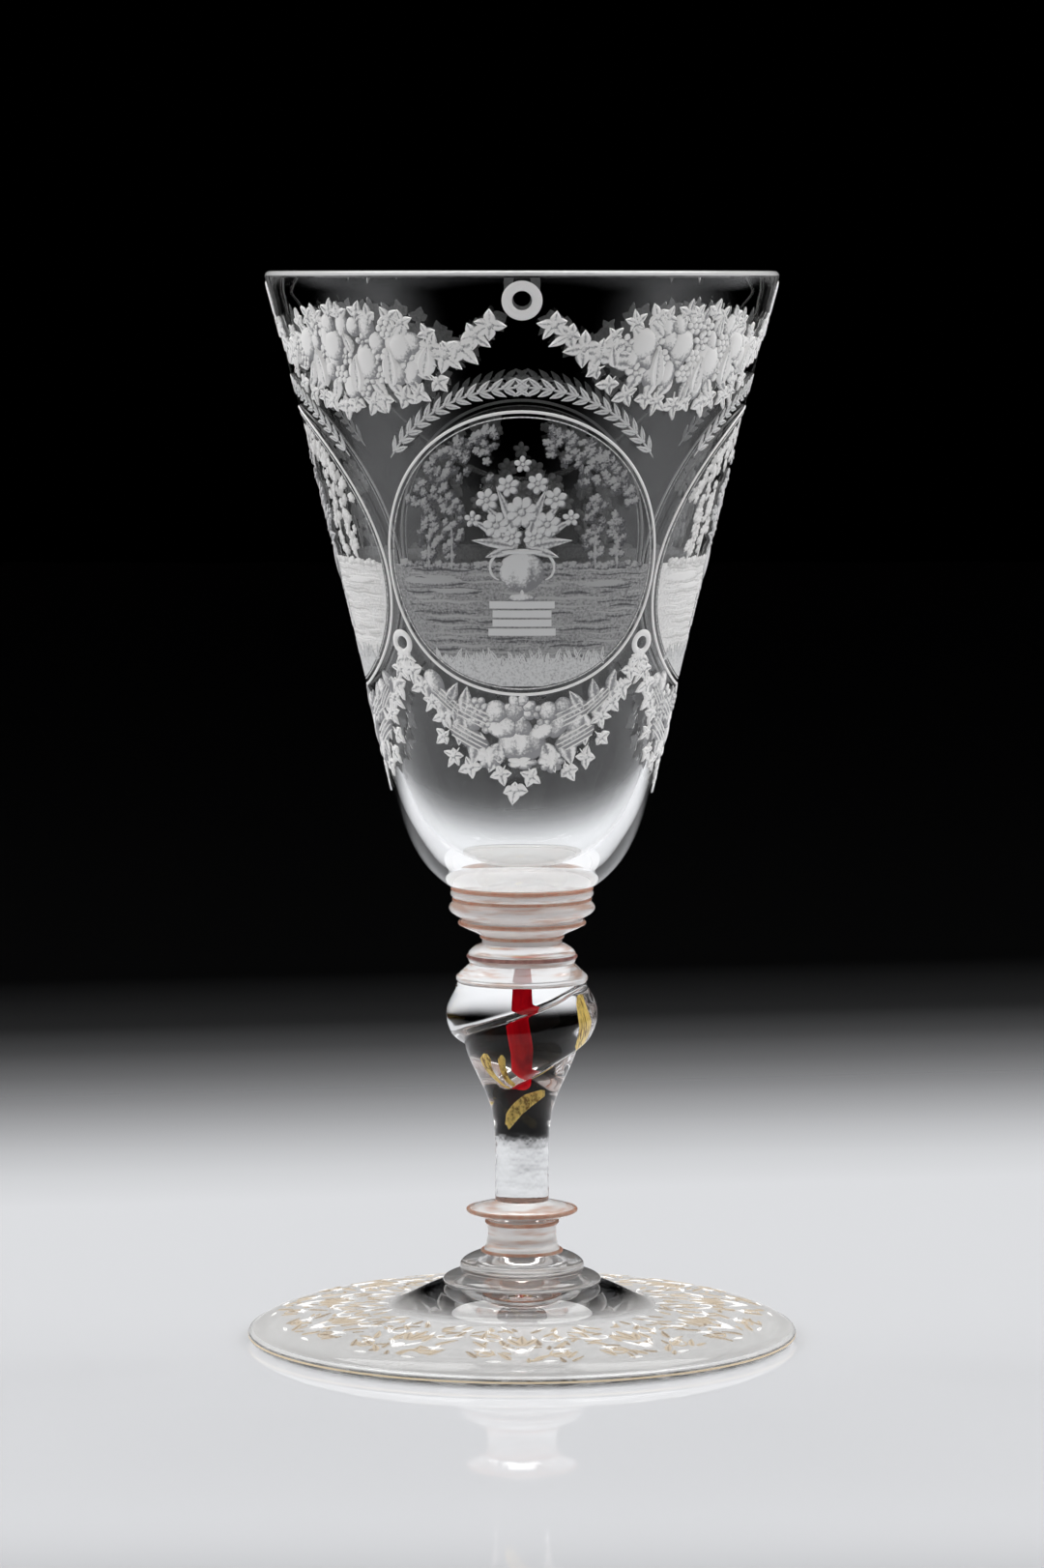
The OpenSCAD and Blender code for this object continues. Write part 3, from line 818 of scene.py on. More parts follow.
    def stroke(self, path, width, lift=0.15, tone=1.0, closed=False):
        """A rounded line along a path, pointed at its ends where it isn't closed."""
        path = np.array(path, float)
        count = len(path)
        if closed:
            ahead = np.roll(path, -1, axis=0) - np.roll(path, 1, axis=0)
            taper = np.ones(count)
        else:
            ahead = np.gradient(path, axis=0)
            taper = np.clip(np.minimum(np.arange(count), np.arange(count)[::-1]) / 3 + 0.3, 0, 1)
        ahead /= np.linalg.norm(ahead, axis=1)[:, None]
        beside = np.stack([-ahead[:, 1], ahead[:, 0]], axis=1)
        places = []
        for here, way, share in zip(path, beside, taper):
            for across, rise in LINE_SECTION:
                spot = here - way * across * width * share
                places.append((*spot, lift * rise if rise else -SUNK))
        wide = len(LINE_SECTION)
        top = flipped(net(count, wide, loop=closed))
        under = []
        for i in range(count if closed else count - 1):
            low = i * wide
            high = (i + 1) % count * wide
            under.append((low, low + wide - 1, high + wide - 1, high))
        if not closed:
            top.append(tuple(range(wide)))
            top.append(tuple(range(count * wide - 1, (count - 1) * wide - 1, -1)))
        self.add(places, tone, top, under)

    def ring(self, x, y, outer, inner, lift=0.3, tone=1.0, steps=40):
        middle = (outer + inner) / 2
        path = [point_from(x, y, middle, a) for a in np.linspace(0, 360, steps, endpoint=False)]
        self.stroke(path, outer - inner, lift, tone, closed=True)

    def sheet(self, rows, tone, lift, rings=False):
        """A thin field through rows of places, each of them all the way round the skin or not."""
        places = [(x, y, height) for height in (lift, -SUNK) for row in rows for x, y in row]
        wide = len(rows[0])
        below = len(rows) * wide
        last = below - wide
        top = net(len(rows), wide, rings=rings)
        under = flipped(net(len(rows), wide, below, rings=rings))
        low_edge = list(range(wide))
        high_edge = list(range(below - 1, last - 1, -1))
        edges = [low_edge, high_edge]
        if not rings:
            right_edge = list(range(2 * wide - 1, last, wide))
            left_edge = list(range(last - wide, 0, -wide))
            edges = [low_edge + right_edge + high_edge + left_edge]
        for edge in edges:
            for here, ahead in zip(edge, edge[1:] + edge[:1]):
                top.append((ahead, here, below + here, below + ahead))
        self.add(places, tone, top, under)

    def plate(self, low, high, half_width, tone=1.0, lift=FIELD_LIFT, rows=16, columns=24):
        """A thin flat field between two levels, whose half width follows its level."""
        shares = np.linspace(-1, 1, columns + 1)
        levels = np.linspace(low, high, rows + 1)
        self.sheet([[(share * half_width(y), y) for share in shares] for y in levels], tone, lift)

    def band(self, low, high, fade_from, tone=1.0, rows=48, columns=144):
        """A thin field all the way round the skin, between two levels, that fades out from a third one."""
        places, shade = [], []
        for y in np.linspace(low, high, rows + 1):
            step = 2 * pi * self.on_skin(self.start + y)[0] / columns
            places.append([(step * number, y) for number in range(columns)])
            shade += [tone * (1 - ease(fade_from, high, y))] * columns
        self.sheet(places, shade * 2, FIELD_LIFT, rings=True)

    def make(self, name, material, under=None):
        # Unless another is given, undersides get the matt glass painted dark, as painted shade.
        materials = [material, under or CUT_UNDER_SHADED]
        piece = add_piece(name, self.points, self.faces, materials, (), self.kinds)
        values = piece.data.attributes.new("cut", "FLOAT", "POINT")
        values.data.foreach_set("value", self.tones)


def on_bowl(angle, level):
    return Relief(bowl_skin, angle, 1, level)


# Lobes of a leaf: direction, length and width as shares of its size
LEAF_KINDS = (
    ((-135, 0.42, 0.34), (135, 0.42, 0.34), (-70, 0.56, 0.34), (70, 0.56, 0.34), (0, 0.64, 0.34)),
    ((-72, 0.52, 0.46), (72, 0.52, 0.46), (0, 0.62, 0.46), (180, 0.3, 0.3)),
    ((-130, 0.5, 0.4), (130, 0.5, 0.4), (-42, 0.58, 0.42), (42, 0.58, 0.42)),
)


def vine_leaf(relief, x, y, size, turn, tone=1.0):
    """A leaf of three to five pointed lobes, none quite like the other."""
    for lobe, length, width in random.choice(LEAF_KINDS):
        relief.leaf(x, y, size * length * uniform(0.85, 1.15),
                    size * width * uniform(0.9, 1.15),
                    turn + lobe + uniform(-12, 12), 0.3, tone * uniform(0.82, 1.05))
    relief.dome(x, y, size * 0.2, size * 0.2, 0, 0.34, tone=tone * 0.75)


def rosette(relief, x, y, size, petals=6, tone=1.0):
    """A flower of petals round a button."""
    for number in range(petals):
        turn = 360 * number / petals + 20
        relief.dome(*point_from(x, y, size * 0.58, turn), size * 0.44, size * 0.34, turn, 0.34, tone=tone)
    relief.dome(x, y, size * 0.28, size * 0.28, 0, 0.5, tone=tone * 0.8)


def sprig(relief, x, y, size, turn, tone=1.0):
    """A small vine leaf on a short stalk."""
    head = point_from(x, y, size * 0.4, turn)
    relief.stroke(np.linspace((x, y), head, 4), 0.5, 0.18, tone * 0.8)
    vine_leaf(relief, *head, size * 0.86, turn, tone)


def pod(relief, x, y, length, width, turn, tone=1.0):
    """A long ribbed pod or a furled leaf, with the given half sizes."""
    relief.dome(x, y, length, width, turn, 0.42, tone=tone * 0.6)
    for share in (-0.62, -0.2, 0.22, 0.64):
        reach = length * 0.9 * sqrt(1 - share * share)
        path = turned_places(np.linspace(-reach, reach, 10), width * share, 0, x, y, turn)
        relief.stroke(path[:, :2], width * 0.26, 0.52, tone)


def packed(half_wide, half_tall, spacing):
    """Places in an oval, in staggered rows, each a little off its spot."""
    places = []
    for row, y in enumerate(np.arange(-half_tall, half_tall + 0.1, spacing * 0.86)):
        for x in np.arange(-half_wide, half_wide + 0.1, spacing) + spacing / 2 * (row % 2):
            if (x / half_wide) ** 2 + (y / half_tall) ** 2 < 1.05:
                places.append((x + uniform(-0.5, 0.5), y + uniform(-0.4, 0.4)))
    random.shuffle(places)
    return places


def fruit(relief, x, y, bright=1.0):
    """One fruit of a pile: an apple, a gourd, a bunch of berries, a leaf or a flower."""
    kind = random.random()
    tone = bright * uniform(0.75, 1.0)
    size = uniform(1.7, 2.3)
    turn = uniform(-40, 40)
    lift = uniform(0.4, 0.6)
    if kind < 0.2:
        relief.dome(x, y, size, size * 1.1, turn, lift, tone=tone)
    elif kind < 0.35:
        relief.dome(x, y, size, size * 1.5, turn, lift, ribs=2, tone=tone)
    elif kind < 0.6:
        for number in range(7):
            reach = 0 if number == 6 else 1.25
            relief.dome(*point_from(x, y, reach, 60 * number), 0.8, 0.8, 0, lift, tone=tone)
    elif kind < 0.8:
        relief.leaf(x, y - size, size * 2.4, size * 1.3, 90 + turn, lift, tone)
    else:
        rosette(relief, x, y, size * 1.15, 5, tone)


def mirrored(items, straight=180):
    """The items and their mirror images: the first number the other way and the last, a direction,
    taken from straight."""
    return list(items) + [(-x, *rest, straight - turn) for x, *rest, turn in items]


# Upper festoons: fruit and flowers between two rings, with chains of vine leaves. Sprigs and chains: place,
# size and direction.

UPPER_AT = 194.0
UPPER_HALF = (18.5, 6.4)
UPPER_SPRIGS = (
    (-18.0, 2.6, 4.6, 130), (-14.6, 4.6, 5.0, 105), (-11.2, 5.4, 5.6, 82), (-7.6, 5.6, 5.0, 108),
    (-4.0, 6.2, 5.4, 80), (-0.6, 6.0, 5.0, 100), (3.2, 6.0, 5.6, 76), (6.8, 5.6, 5.0, 98),
    (10.4, 5.2, 5.6, 72), (14.0, 4.6, 5.2, 92), (17.6, 2.8, 4.8, 55), (20.6, 0.6, 4.4, 30),
    (-20.0, -1.8, 4.4, 205), (-17.4, -3.8, 5.0, 235), (-13.8, -5.4, 5.4, 250), (-10.2, -6.0, 5.0, 268),
    (-6.8, -6.6, 5.6, 252), (-3.4, -7.0, 6.4, 272), (0.2, -6.8, 5.2, 258), (3.6, -6.6, 6.0, 285),
    (7.2, -6.2, 5.2, 265), (10.8, -5.8, 5.8, 292), (14.4, -5.0, 5.2, 278), (17.8, -3.4, 5.0, 315),
)
# Large fruit and large leaves: place, half sizes or length and width, and direction
UPPER_GOURDS = ((-12.6, 2.2, 3.0, 3.4, 12), (-3.8, 1.8, 3.1, 3.5, 4), (4.6, -1.4, 2.8, 3.8, 8),
                (12.8, 1.6, 2.8, 3.2, -14))
UPPER_LEAVES = ((-8.6, -6.2, 8.4, 4.4, 96), (0.8, -7.4, 8.0, 4.4, 82), (9.4, -6.0, 8.6, 4.6, 84),
                (16.4, -4.0, 7.0, 4.0, 70))
UPPER_CHAIN = ((-31.4, 6.2, 5.8, 235), (-28.0, 4.2, 6.2, 215), (-24.8, 1.8, 6.4, 235),
               (-21.6, 0.2, 6.4, 215), (-18.8, 1.8, 6.0, 150))
# Rings that the festoons hang from: level, outer and inner radius
RING_UPPER = (204.5, 3.85, 1.85)
RING_LOWER = (139.0, 2.6, 1.25)


def make_upper_festoon(number, angle):
    relief = on_bowl(angle, UPPER_AT)
    random.seed(number)
    half_wide, half_tall = UPPER_HALF
    for x, y, size, turn in UPPER_SPRIGS:
        sprig(relief, x, y, size, turn, uniform(0.85, 1.0))
    for turn in range(0, 360, 18):
        x, y = point_from(0, 0, 1, turn)
        relief.leaf(half_wide * 0.8 * x, half_tall * 0.7 * y, 5.2, 3.0,
                    turn + uniform(-25, 25), 0.3, uniform(0.6, 0.9))
    for x, y in packed(half_wide, half_tall, 3.5):
        fruit(relief, x, y)
    for gourd in UPPER_GOURDS:
        relief.dome(*gourd, 0.75)
    for leaf in UPPER_LEAVES:
        relief.leaf(*leaf, 0.8)
    for leaf in mirrored(UPPER_CHAIN):
        vine_leaf(relief, *leaf, 0.95)
    relief.make(f"festoon_upper_{number}", CUT_BRIGHT)


def make_ring(name, angle, level, outer, inner):
    relief = on_bowl(angle, level)
    relief.ring(0, 0, outer, inner)
    relief.make(name, CUT_BRIGHT)


# Medallions: a round frame about an urn of flowers in a garden, under an arc of laurel

MEDALLION_AT = 156.6
MEDALLION_R = 27.9
MEDALLION_STEPS = 120
# Lines of the frame: outer and inner edge from its radius, height and tone
MEDALLION_LINES = ((0.3, -0.3, 0.2, 1.0), (-0.95, -1.2, 0.1, 0.45))
SCENERY_R = MEDALLION_R - 1.4
SCENERY_LOW = -SCENERY_R + 0.3
HORIZON = -2.4
TREE_HEAPS = 34
BOUGH_HEAPS = 90
BANK = -20.6
LAUREL_R = 32.6
LAUREL_SPREAD = 55
LAUREL_STEP = 4.2
# Steps of the plinth: level and half width
PLINTH = ((-15.4, 6.4), (-13.6, 5.6), (-11.8, 5.6), (-10.0, 6.2))
# Long leaves of the urn: lean and length
URN_LEAVES = ((12, 13.0), (30, 11.5), (52, 11.0), (74, 9.0), (100, 6.5))
# Flowers of the urn: place, size and number of petals
BOUQUET = (
    (0.0, 8.2, 3.2, 8), (-4.8, 5.6, 2.7, 7), (4.8, 5.8, 2.7, 7), (-1.8, 3.4, 2.0, 6), (2.2, 3.2, 2.0, 6),
    (-6.6, 10.6, 2.3, 6), (6.4, 10.8, 2.3, 6), (-2.6, 13.4, 2.2, 6), (3.0, 13.8, 2.1, 6),
    (0.2, 17.6, 1.7, 5), (-9.4, 6.8, 1.7, 5), (9.4, 7.0, 1.7, 5),
)
# Trees: place, height and half width. Bright patches of lawn: place and half sizes.
TREES = ((-18.4, 10.0, 2.0), (-13.6, 13.5, 2.2), (14.2, 12.0, 2.2), (18.8, 8.5, 1.9))
LAWNS = ((-17.0, -5.4, 8.4, 1.3), (-13.0, -7.4, 6.4, 0.8), (16.6, -6.0, 7.0, 0.9))


def make_medallion(number, angle):
    relief = on_bowl(angle, MEDALLION_AT)
    for outer, inner, lift, tone in MEDALLION_LINES:
        relief.ring(0, 0, MEDALLION_R + outer, MEDALLION_R + inner, lift, tone, MEDALLION_STEPS)
    relief.make(f"medallion_{number}", CUT_BRIGHT)
    scenery = on_bowl(angle, MEDALLION_AT)
    random.seed(20 + number)
    draw_urn(scenery)
    draw_bank(scenery)
    scenery.make(f"urn_{number}", CUT_FAINT)
    soft = on_bowl(angle, MEDALLION_AT)
    random.seed(40 + number)
    draw_garden(soft)
    # The medallions at the sides get the paler ground, painted light as if lit from the side.
    soft.make(f"garden_{number}", CUT_SOFT if number % 2 else CUT_SOFT_PAINTED_LIT)


def scenery_half(y):
    """Half the width of the scenery at a level."""
    return sqrt(max(0.04, SCENERY_R * SCENERY_R - y * y))


def draw_urn(relief):
    """An urn of flowers on a stone plinth."""
    for level, half in PLINTH:
        relief.plate(level - 0.7, level + 0.7, lambda y, half=half: half, 0.9, 0.2, 4, 16)
    relief.dome(0, -8.6, 2.8, 0.9, 0, 0.3, tone=0.8)
    relief.stroke([(0, -8.6), (0, -7.8), (0, -7.0)], 1.6, 0.25, 0.75)
    relief.dome(0, -3.6, 4.6, 4.2, 0, 0.5, ribs=4, tone=0.95)
    relief.stroke([(x, 0.5) for x in np.linspace(-3.8, 3.8, 12)], 1.0, 0.35, 1.0)
    for side in (-1, 1):
        handle = [(side * (4.0 + 2.1 * sin(radians(a))), -2.6 - 2.5 * cos(radians(a)))
                  for a in range(10, 180, 17)]
        relief.stroke(handle, 0.6, 0.25, 0.9)
        for lean, length in URN_LEAVES:
            relief.leaf(side * 0.8, 1.2, length, 2.2, 90 - side * lean, 0.2, 0.7, 0.12 * side)
    for flower in BOUQUET:
        rosette(relief, *flower, 0.9)


def draw_bank(relief):
    """A grassy bank along the foot of the medallion."""
    relief.plate(SCENERY_LOW, BANK, scenery_half, 0.58, 0.12, 8)
    for x in np.arange(-scenery_half(BANK), scenery_half(BANK), 0.55):
        relief.leaf(x, BANK - uniform(0.2, 1.6), uniform(1.4, 3.0), 0.9,
                    90 + uniform(-35, 35), 0.18, uniform(0.7, 1.0))


def draw_tree(soft, x, tall, wide):
    """A slim tree of loose leaf heaps on the horizon."""
    soft.stroke(np.linspace((x, HORIZON - 0.8), (x, HORIZON + tall * 0.6), 8), 0.7, 0.16, 0.8)
    for step in range(TREE_HEAPS):
        share = random.random()
        half = wide * sin(pi * (0.12 + 0.82 * share)) ** 0.8
        soft.dome(x + uniform(-half, half), HORIZON + 1.6 + share * tall, 1.1, 0.8,
                  uniform(0, 90), 0.18, 5, 0.35, tone=uniform(0.45, 1.0))


def draw_garden(soft):
    """Streaked lawns with trees at both sides and boughs above."""
    soft.plate(SCENERY_LOW, HORIZON, scenery_half, 0.53)
    level = -SCENERY_R + 1.0
    while level < HORIZON:
        reach = scenery_half(level) - 0.6
        x = -reach + uniform(0, 4)
        while x < reach - 2:
            end = min(reach, x + uniform(3, 18))
            path = [(p, level + 0.14 * sin(p * 0.9 + level)) for p in np.linspace(x, end, 10)]
            soft.stroke(path, uniform(0.3, 0.8), 0.1, uniform(0.25, 0.8))
            x = end + uniform(0.5, 5.0)
        level += uniform(0.5, 0.95)
    for tree in TREES:
        draw_tree(soft, *tree)
    for x in np.arange(-24, 24.5, 1.3):
        wide = uniform(1.0, 1.8)
        soft.dome(x, HORIZON + uniform(-0.2, 0.3), wide, uniform(0.5, 1.1), 0, 0.14, 5, 0.2,
                  tone=uniform(0.5, 0.9))
    for lawn in LAWNS:
        soft.dome(*lawn, 0, 0.12)
    for side in (-1, 1):
        for step in range(BOUGH_HEAPS):
            turn = 90 - side * uniform(12, 66)
            reach = SCENERY_R - 1.0 - abs(random.gauss(0, 2.8))
            soft.dome(*point_from(0, 0, reach, turn), uniform(0.9, 1.5), uniform(0.7, 1.1),
                      uniform(0, 90), 0.16, 5, 0.35, tone=uniform(0.4, 1.0))


def make_laurel(number, angle):
    relief = on_bowl(angle, MEDALLION_AT)
    stem = arc((0, 0), LAUREL_R, 90 + LAUREL_SPREAD, 90 - LAUREL_SPREAD, 89)
    relief.stroke(stem, 0.4, 0.1, 0.8)
    for side in (-1, 1):
        for a in np.arange(2.0, LAUREL_SPREAD, LAUREL_STEP):
            x, y = point_from(0, 0, LAUREL_R, 90 - side * a)
            up_stem = 90 + side * (90 - a)
            for lean in (-34, 34):
                relief.leaf(x, y, 3.3, 1.15, up_stem + lean, 0.15, 0.85)
            relief.dome(x, y + 0.2, 0.42, 0.42, 0, 0.2, tone=0.9)
    relief.make(f"laurel_arc_{number}", CUT_FAINT)


# Lower festoons: fruit and pods under the medallions, with chains of vine leaves

LOWER_AT = 125.0
# Height gained for each millimetre up the skin there
LOWER_CLIMB = 0.9716
LOWER_PODS = ((-10.4, -4.0, 4.6, 2.0, -28), (-9.6, 0.6, 4.4, 2.1, -26), (-15.0, 3.2, 3.6, 1.6, -40))
LOWER_LEAVES = ((-15.4, 4.6, 7.0, 4.2, 268), (-11.6, 1.0, 7.0, 4.2, 262), (-8.0, -3.0, 7.0, 4.2, 256),
                (-4.2, -5.0, 6.6, 4.0, 250), (-19.0, 7.4, 6.0, 3.6, 275))
LOWER_CHAIN = ((-25.4, 11.4, 4.8, 250), (-22.8, 9.0, 5.0, 235), (-20.6, 6.0, 5.0, 250),
               (-18.2, 3.0, 5.0, 230), (-15.8, 0.0, 4.8, 250))
LOWER_SPRIGS = ((-14.4, -2.6, 4.6, 225), (-12.4, -6.2, 5.0, 235), (-9.2, -8.2, 5.2, 245),
                (-3.2, -9.6, 4.8, 245), (1.2, -9.8, 5.0, 285), (8.2, -8.6, 5.2, 290),
                (11.4, -6.4, 5.2, 305), (14.6, -3.0, 4.6, 315))
# Two rows of fruit about the medallion's middle: radius and half spread
LOWER_ROWS = ((31.6, 34), (34.6, 22))
LOWER_SPACING = 3.4


def make_lower_festoon(number, angle):
    relief = on_bowl(angle, LOWER_AT)
    random.seed(80 + number)
    for leaf in mirrored(LOWER_CHAIN):
        vine_leaf(relief, *leaf, 0.95)
    for leaf in mirrored(LOWER_LEAVES):
        relief.leaf(*leaf, 0.24, 0.7)
    for leaf in LOWER_SPRIGS:
        sprig(relief, *leaf, 0.95)
    vine_leaf(relief, -1.4, -14.4, 5.4, 270, 1.0)
    middle = (MEDALLION_AT - LOWER_AT) / LOWER_CLIMB
    for out, spread in LOWER_ROWS:
        for a in np.arange(-spread, spread + 0.1, degrees(LOWER_SPACING / out)):
            turn = a + uniform(-0.8, 0.8) - 90
            fruit(relief, *point_from(0, middle, out + uniform(-0.4, 0.4), turn), 0.72)
    for item in mirrored(LOWER_PODS, 0):
        pod(relief, *item, 0.85)
    for x, y in ((-6.2, -8.2), (5.6, -8.8)):
        relief.dome(x, y, 2.6, 2.4, 0, 0.5, 8, 0.18, ribs=4)
    rosette(relief, -0.4, 1.6, 3.2, 7, 0.7)
    for x, y, turn in ((-4.6, -2.4, 150), (3.8, -2.8, 30)):
        relief.dome(x, y, 2.6, 1.6, turn, 0.55)
    relief.dome(0, -5.4, 4.8, 3.4, 0, 0.6, ribs=5, tone=0.8)
    relief.dome(0, -9.0, 3.0, 1.5, 0, 0.5, 5, 0.25)
    relief.make(f"festoon_lower_{number}", CUT_BRIGHT)


def make_engraving():
    for number, turn in enumerate((0, 90, 180, 270), 1):
        under_ring = FRONT + turn
        between = under_ring + 45
        make_ring(f"ring_upper_{number}", under_ring, *RING_UPPER)
        make_ring(f"ring_lower_{number}", between, *RING_LOWER)
        make_upper_festoon(number, between)
        make_medallion(number, under_ring)
        make_laurel(number, under_ring)
        make_lower_festoon(number, under_ring)


# Ornament of the foot: leaf scrolls, some of their leaves tan

FOOT_GROUPS = 11
FOOT_ORNAMENT_R = 37.0
FOOT_LIFT = 0.1
FOOT_STRAY_LEAVES = 12
# Curled leaves at one side of a group: place, length, width and direction
FOOT_TAN_LEAVES = (
    (2.2, -11.6, 4.6, 1.9, 60), (4.8, -9.4, 5.2, 2.0, 35), (7.0, -5.4, 5.2, 1.9, 75),
    (3.6, -3.8, 4.6, 1.9, 105), (8.0, 0.4, 5.0, 1.8, 120), (4.2, 2.4, 4.4, 1.7, 60),
    (1.8, 5.4, 4.0, 1.6, 80), (8.8, -11.0, 4.2, 1.8, 80), (6.0, 6.2, 3.8, 1.5, 100),
)
FOOT_WHITE_LEAVES = (
    (1.2, -7.4, 4.6, 1.2, 70), (5.6, -6.8, 4.4, 1.1, 20), (6.2, -1.2, 4.6, 1.2, 50),
    (2.8, -0.2, 4.0, 1.0, 120), (8.2, -8.6, 3.8, 1.0, 110), (6.6, 4.2, 3.8, 1.0, 95),
    (3.8, -12.2, 3.4, 1.0, 10), (3.0, 8.0, 3.0, 0.9, 70),
)
# Matt film: level at which it ends, level from which it fades, and tone
FILM = (18.5, 8.0, 0.8)


def on_foot(angle):
    return Relief(foot_top(), angle, 0, FOOT_ORNAMENT_R)


def curl(x, y, size, turn, side):
    """A short hooked line that winds in to its eye."""
    return [point_from(x, y, size * (1 - 0.7 * t), turn + side * 260 * t) for t in np.linspace(0, 1, 20)]


def side_leaves(relief, leaves, side, dimmest, bend):
    for x, y, length, width, turn in leaves:
        turn = 90 - side * (90 - turn) + uniform(-12, 12)
        relief.leaf(side * x, y, length, width, turn, FOOT_LIFT, uniform(dimmest, 1), bend * side)


def make_foot_ornament(number, angle):
    random.seed(120 + number)
    tan_relief = on_foot(angle)
    white = on_foot(angle)
    for side in (-1, 1):
        side_leaves(tan_relief, FOOT_TAN_LEAVES, side, 0.55, 0.25)
        for step in range(FOOT_STRAY_LEAVES):
            tan_relief.leaf(side * uniform(0, 10), uniform(-13, 8), uniform(2.2, 3.6), 1.3,
                      uniform(0, 180), FOOT_LIFT, uniform(0.5, 1), 0.2 * side)
        side_leaves(white, FOOT_WHITE_LEAVES, side, 0.7, 0.2)
        tan_relief.stroke(curl(side * 7.6, -8.4, 2.4, 90 + side * 40, side), 0.7, FOOT_LIFT, 0.8)
        white.stroke(curl(side * 5.0, 1.2, 2.4, 90 - side * 70, -side), 0.5, FOOT_LIFT, 0.9)
    for turn, length in ((90, 8.0), (62, 6.6), (118, 6.6)):
        tan_relief.leaf(0, -4.0, length, 2.4, turn, 0.12, 0.85)
    white.dome(0, -7.0, 1.4, 1.8, 0, 0.14)
    tan_relief.make(f"foot_tan_{number}", CUT_TAN)
    # The white leaves are bright enough to be painted glints as well as white cuts.
    white.make(f"foot_cut_{number}", CUT_WHITE_AND_GLINT)


def make_foot_ground():
    """A fine matt ground under the ornament of the foot, from the foot's edge to its dome."""
    ground = on_foot(FRONT)
    ground.band(-ground.start, *FILM)
    ground.make("foot_ground", CUT_FILM, CUT_FILM)


make_engraving()
make_foot_ground()
for number in range(FOOT_GROUPS):
    make_foot_ornament(number + 1, FRONT + 360 * number / FOOT_GROUPS)


# Floor, light and camera. Lengths are in metres, and the lens is in millimetres.

FLOOR_R = 3.0
FLOOR_DROP = 0.0003
FLOOR_COLOUR = (0.96, 0.97, 1.0)
# Painted fall-off of light on the floor: share of its paleness at distances behind the goblet and how much
# sooner it fades towards the left; then where it fades out at its front edge and at its sides
FLOOR_PAINTED_FALLOFF = ((0.0, 1.0), (0.18, 1.0), (0.225, 0.88), (0.262, 0.72), (0.302, 0.52), (0.345, 0.33),
              (0.39, 0.19), (0.438, 0.085), (0.489, 0.026), (0.60, 0.003))
FLOOR_PALE = 0.67
FLOOR_FALLOFF_SLANT = 0.2
FRONT_EDGE = (-0.34, -0.16)
SIDE_EDGE = (0.7, 0.4)
AMBIENT = 0.7
LIGHT_AIM = (0, 0, 0.1)
# Lights: name, place, size, power in watts and whether the glass shows them
LIGHTS = (
    ("softbox_left", (-0.86, 0.34, 0.78), (0.8, 0.8), 5.0, False),
    ("spark_left", (-0.86, 0.34, 0.78), (0.16, 0.16), 1.2, True),
    ("softbox_right", (0.86, 0.34, 0.78), (0.8, 0.8), 5.0, False),
    ("spark_right", (0.86, 0.34, 0.78), (0.16, 0.16), 1.2, True),
    ("softbox_back", (0, 0.6, 1.1), (1.2, 0.5), 8.0, True),
)
CAMERA_AWAY = 1.127
CAMERA_UP = 0.211
CAMERA_DOWN = 5.14
LENS = 132.3


def fade_out(tree, source, far, near):
    """1 on the near side of an edge and 0 on its far side."""
    return map_range(tree, source, interpolation_type="SMOOTHSTEP", From_Min=far, From_Max=near)


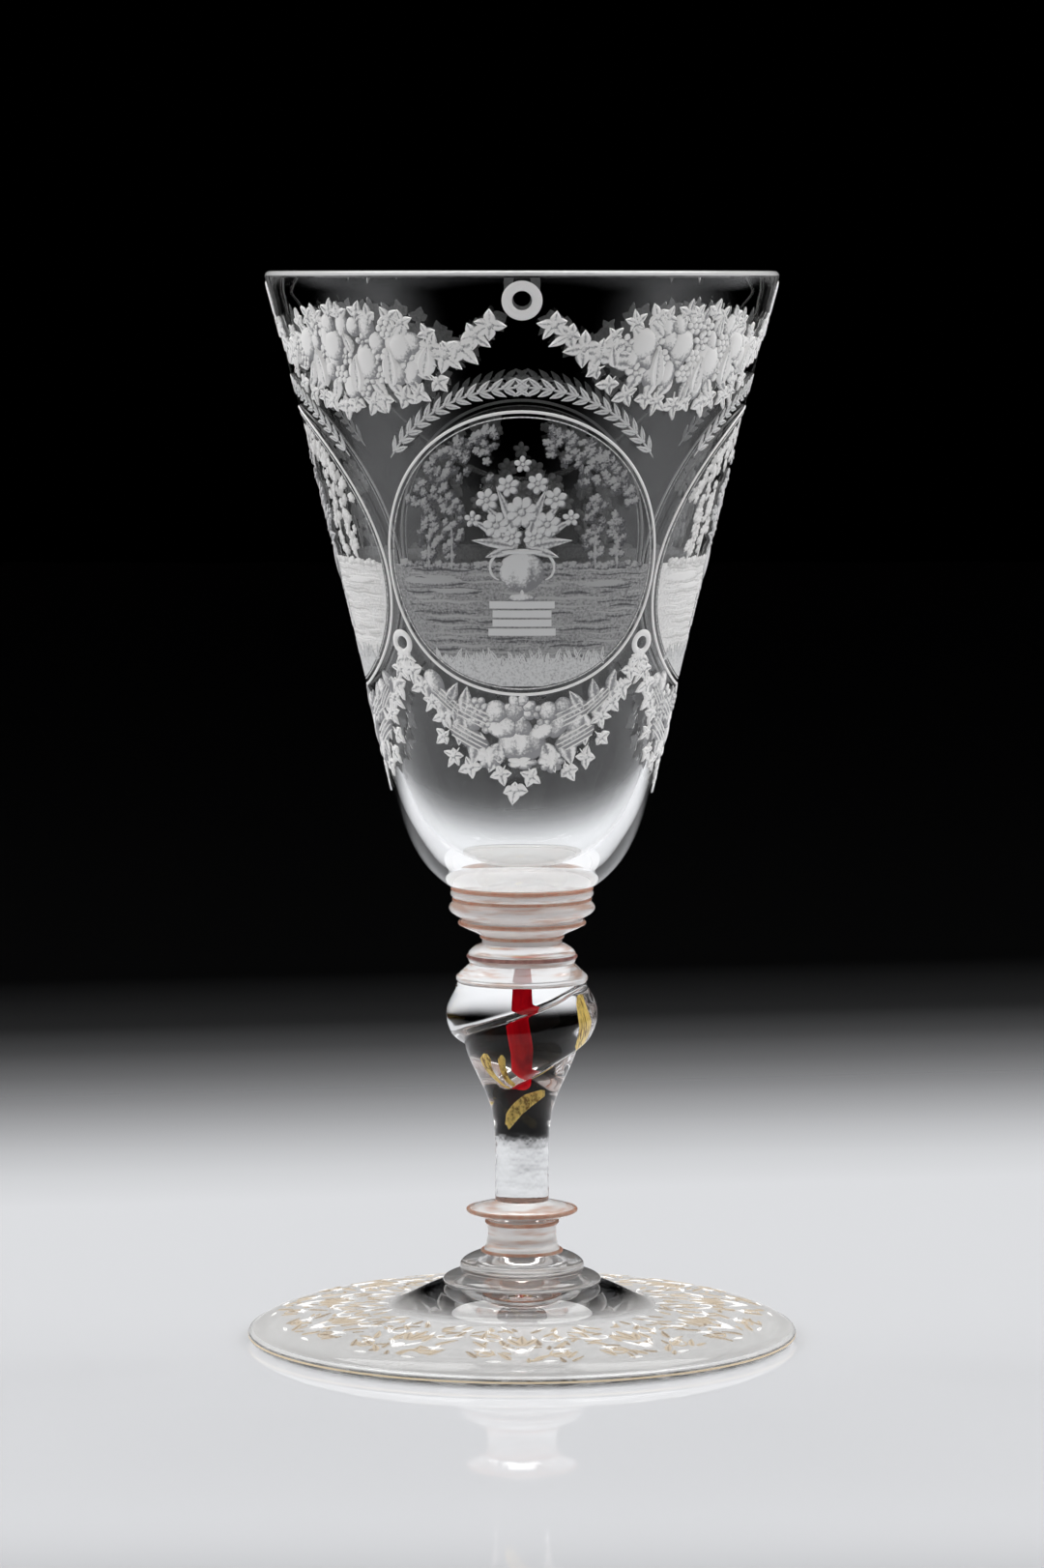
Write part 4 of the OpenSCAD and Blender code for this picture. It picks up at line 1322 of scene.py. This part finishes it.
def make_floor():
    mesh = bpy.data.meshes.new("floor")
    corners = [(-FLOOR_R, -FLOOR_R), (FLOOR_R, -FLOOR_R), (FLOOR_R, FLOOR_R), (-FLOOR_R, FLOOR_R)]
    mesh.from_pydata([(x, y, -FLOOR_DROP) for x, y in corners], [], [(0, 1, 2, 3)])
    floor = add_object("floor", mesh)
    material, tree, shader = new_material("pale_table", Roughness=0.03, Specular_IOR_Level=0.12)
    place = add_node(tree, "ShaderNodeTexCoord")
    axes = add_node(tree, "ShaderNodeSeparateXYZ", [("Vector", place.outputs["Object"])]).outputs
    farthest = FLOOR_PAINTED_FALLOFF[-1][0]
    # Painted fall-off of light: the floor's colour darkens with distance behind the goblet, sooner towards
    # the left.
    behind = reckon(tree, "MULTIPLY_ADD", axes["X"], -FLOOR_FALLOFF_SLANT, axes["Y"])
    ramp = add_node(tree, "ShaderNodeValToRGB", [("Fac", map_range(tree, behind, From_Max=farthest))])
    stops = ramp.color_ramp.elements
    for number, (distance, pale) in enumerate(FLOOR_PAINTED_FALLOFF):
        last = number == len(FLOOR_PAINTED_FALLOFF) - 1
        stop = stops[0] if number == 0 else stops[-1] if last else stops.new(distance / farthest)
        stop.color = (*(pale * FLOOR_PALE * c for c in FLOOR_COLOUR), 1)
    aside = reckon(tree, "ABSOLUTE", axes["X"])
    edges = reckon(tree, "MULTIPLY", fade_out(tree, axes["Y"], *FRONT_EDGE),
                   fade_out(tree, aside, *SIDE_EDGE))
    shade = add_node(tree, "ShaderNodeVectorMath", operation="SCALE",
                     links=[("Vector", ramp.outputs["Color"]), ("Scale", edges)])
    tree.links.new(shade.outputs["Vector"], shader.inputs["Base Color"])
    mesh.materials.append(material)


def make_world():
    """A dark room that the camera and the glass see, and that fills in the shadows softly."""
    world = bpy.data.worlds.new("dark_studio")
    world.use_nodes = True
    tree = world.node_tree
    ray = add_node(tree, "ShaderNodeLightPath").outputs
    seen = reckon(tree, "MAXIMUM", ray["Is Camera Ray"], ray["Is Glossy Ray"])
    shown = reckon(tree, "MAXIMUM", seen, ray["Is Transmission Ray"])
    fill = map_range(tree, shown, To_Min=AMBIENT, To_Max=0.0)
    background = tree.nodes["Background"]
    tree.links.new(fill, background.inputs["Strength"])
    background.inputs["Color"].default_value = (1, 1, 1, 1)
    bpy.context.scene.world = world


def add_softbox(name, place, size, power, seen_in_glass):
    light = bpy.data.lights.new(name, "AREA")
    light.shape = "RECTANGLE"
    light.size, light.size_y = size
    light.energy = power
    lamp = add_object(name, light)
    lamp.visible_glossy = seen_in_glass
    lamp.visible_transmission = seen_in_glass
    lamp.location = place
    lamp.rotation_euler = (Vector(LIGHT_AIM) - Vector(place)).to_track_quat("-Z", "Y").to_euler()


def make_stage():
    scene = bpy.context.scene
    make_floor()
    make_world()
    for light in LIGHTS:
        add_softbox(*light)
    camera = add_object("camera", bpy.data.cameras.new("camera"))
    camera.data.lens = LENS
    camera.location = (0, -CAMERA_AWAY, CAMERA_UP)
    camera.rotation_euler = (radians(90 - CAMERA_DOWN), 0, 0)
    scene.camera = camera
    scene.view_settings.view_transform = "Standard"
    scene.cycles.max_bounces = 32
    scene.cycles.transmission_bounces = 32
    scene.cycles.glossy_bounces = 16
    scene.cycles.transparent_max_bounces = 64


make_stage()
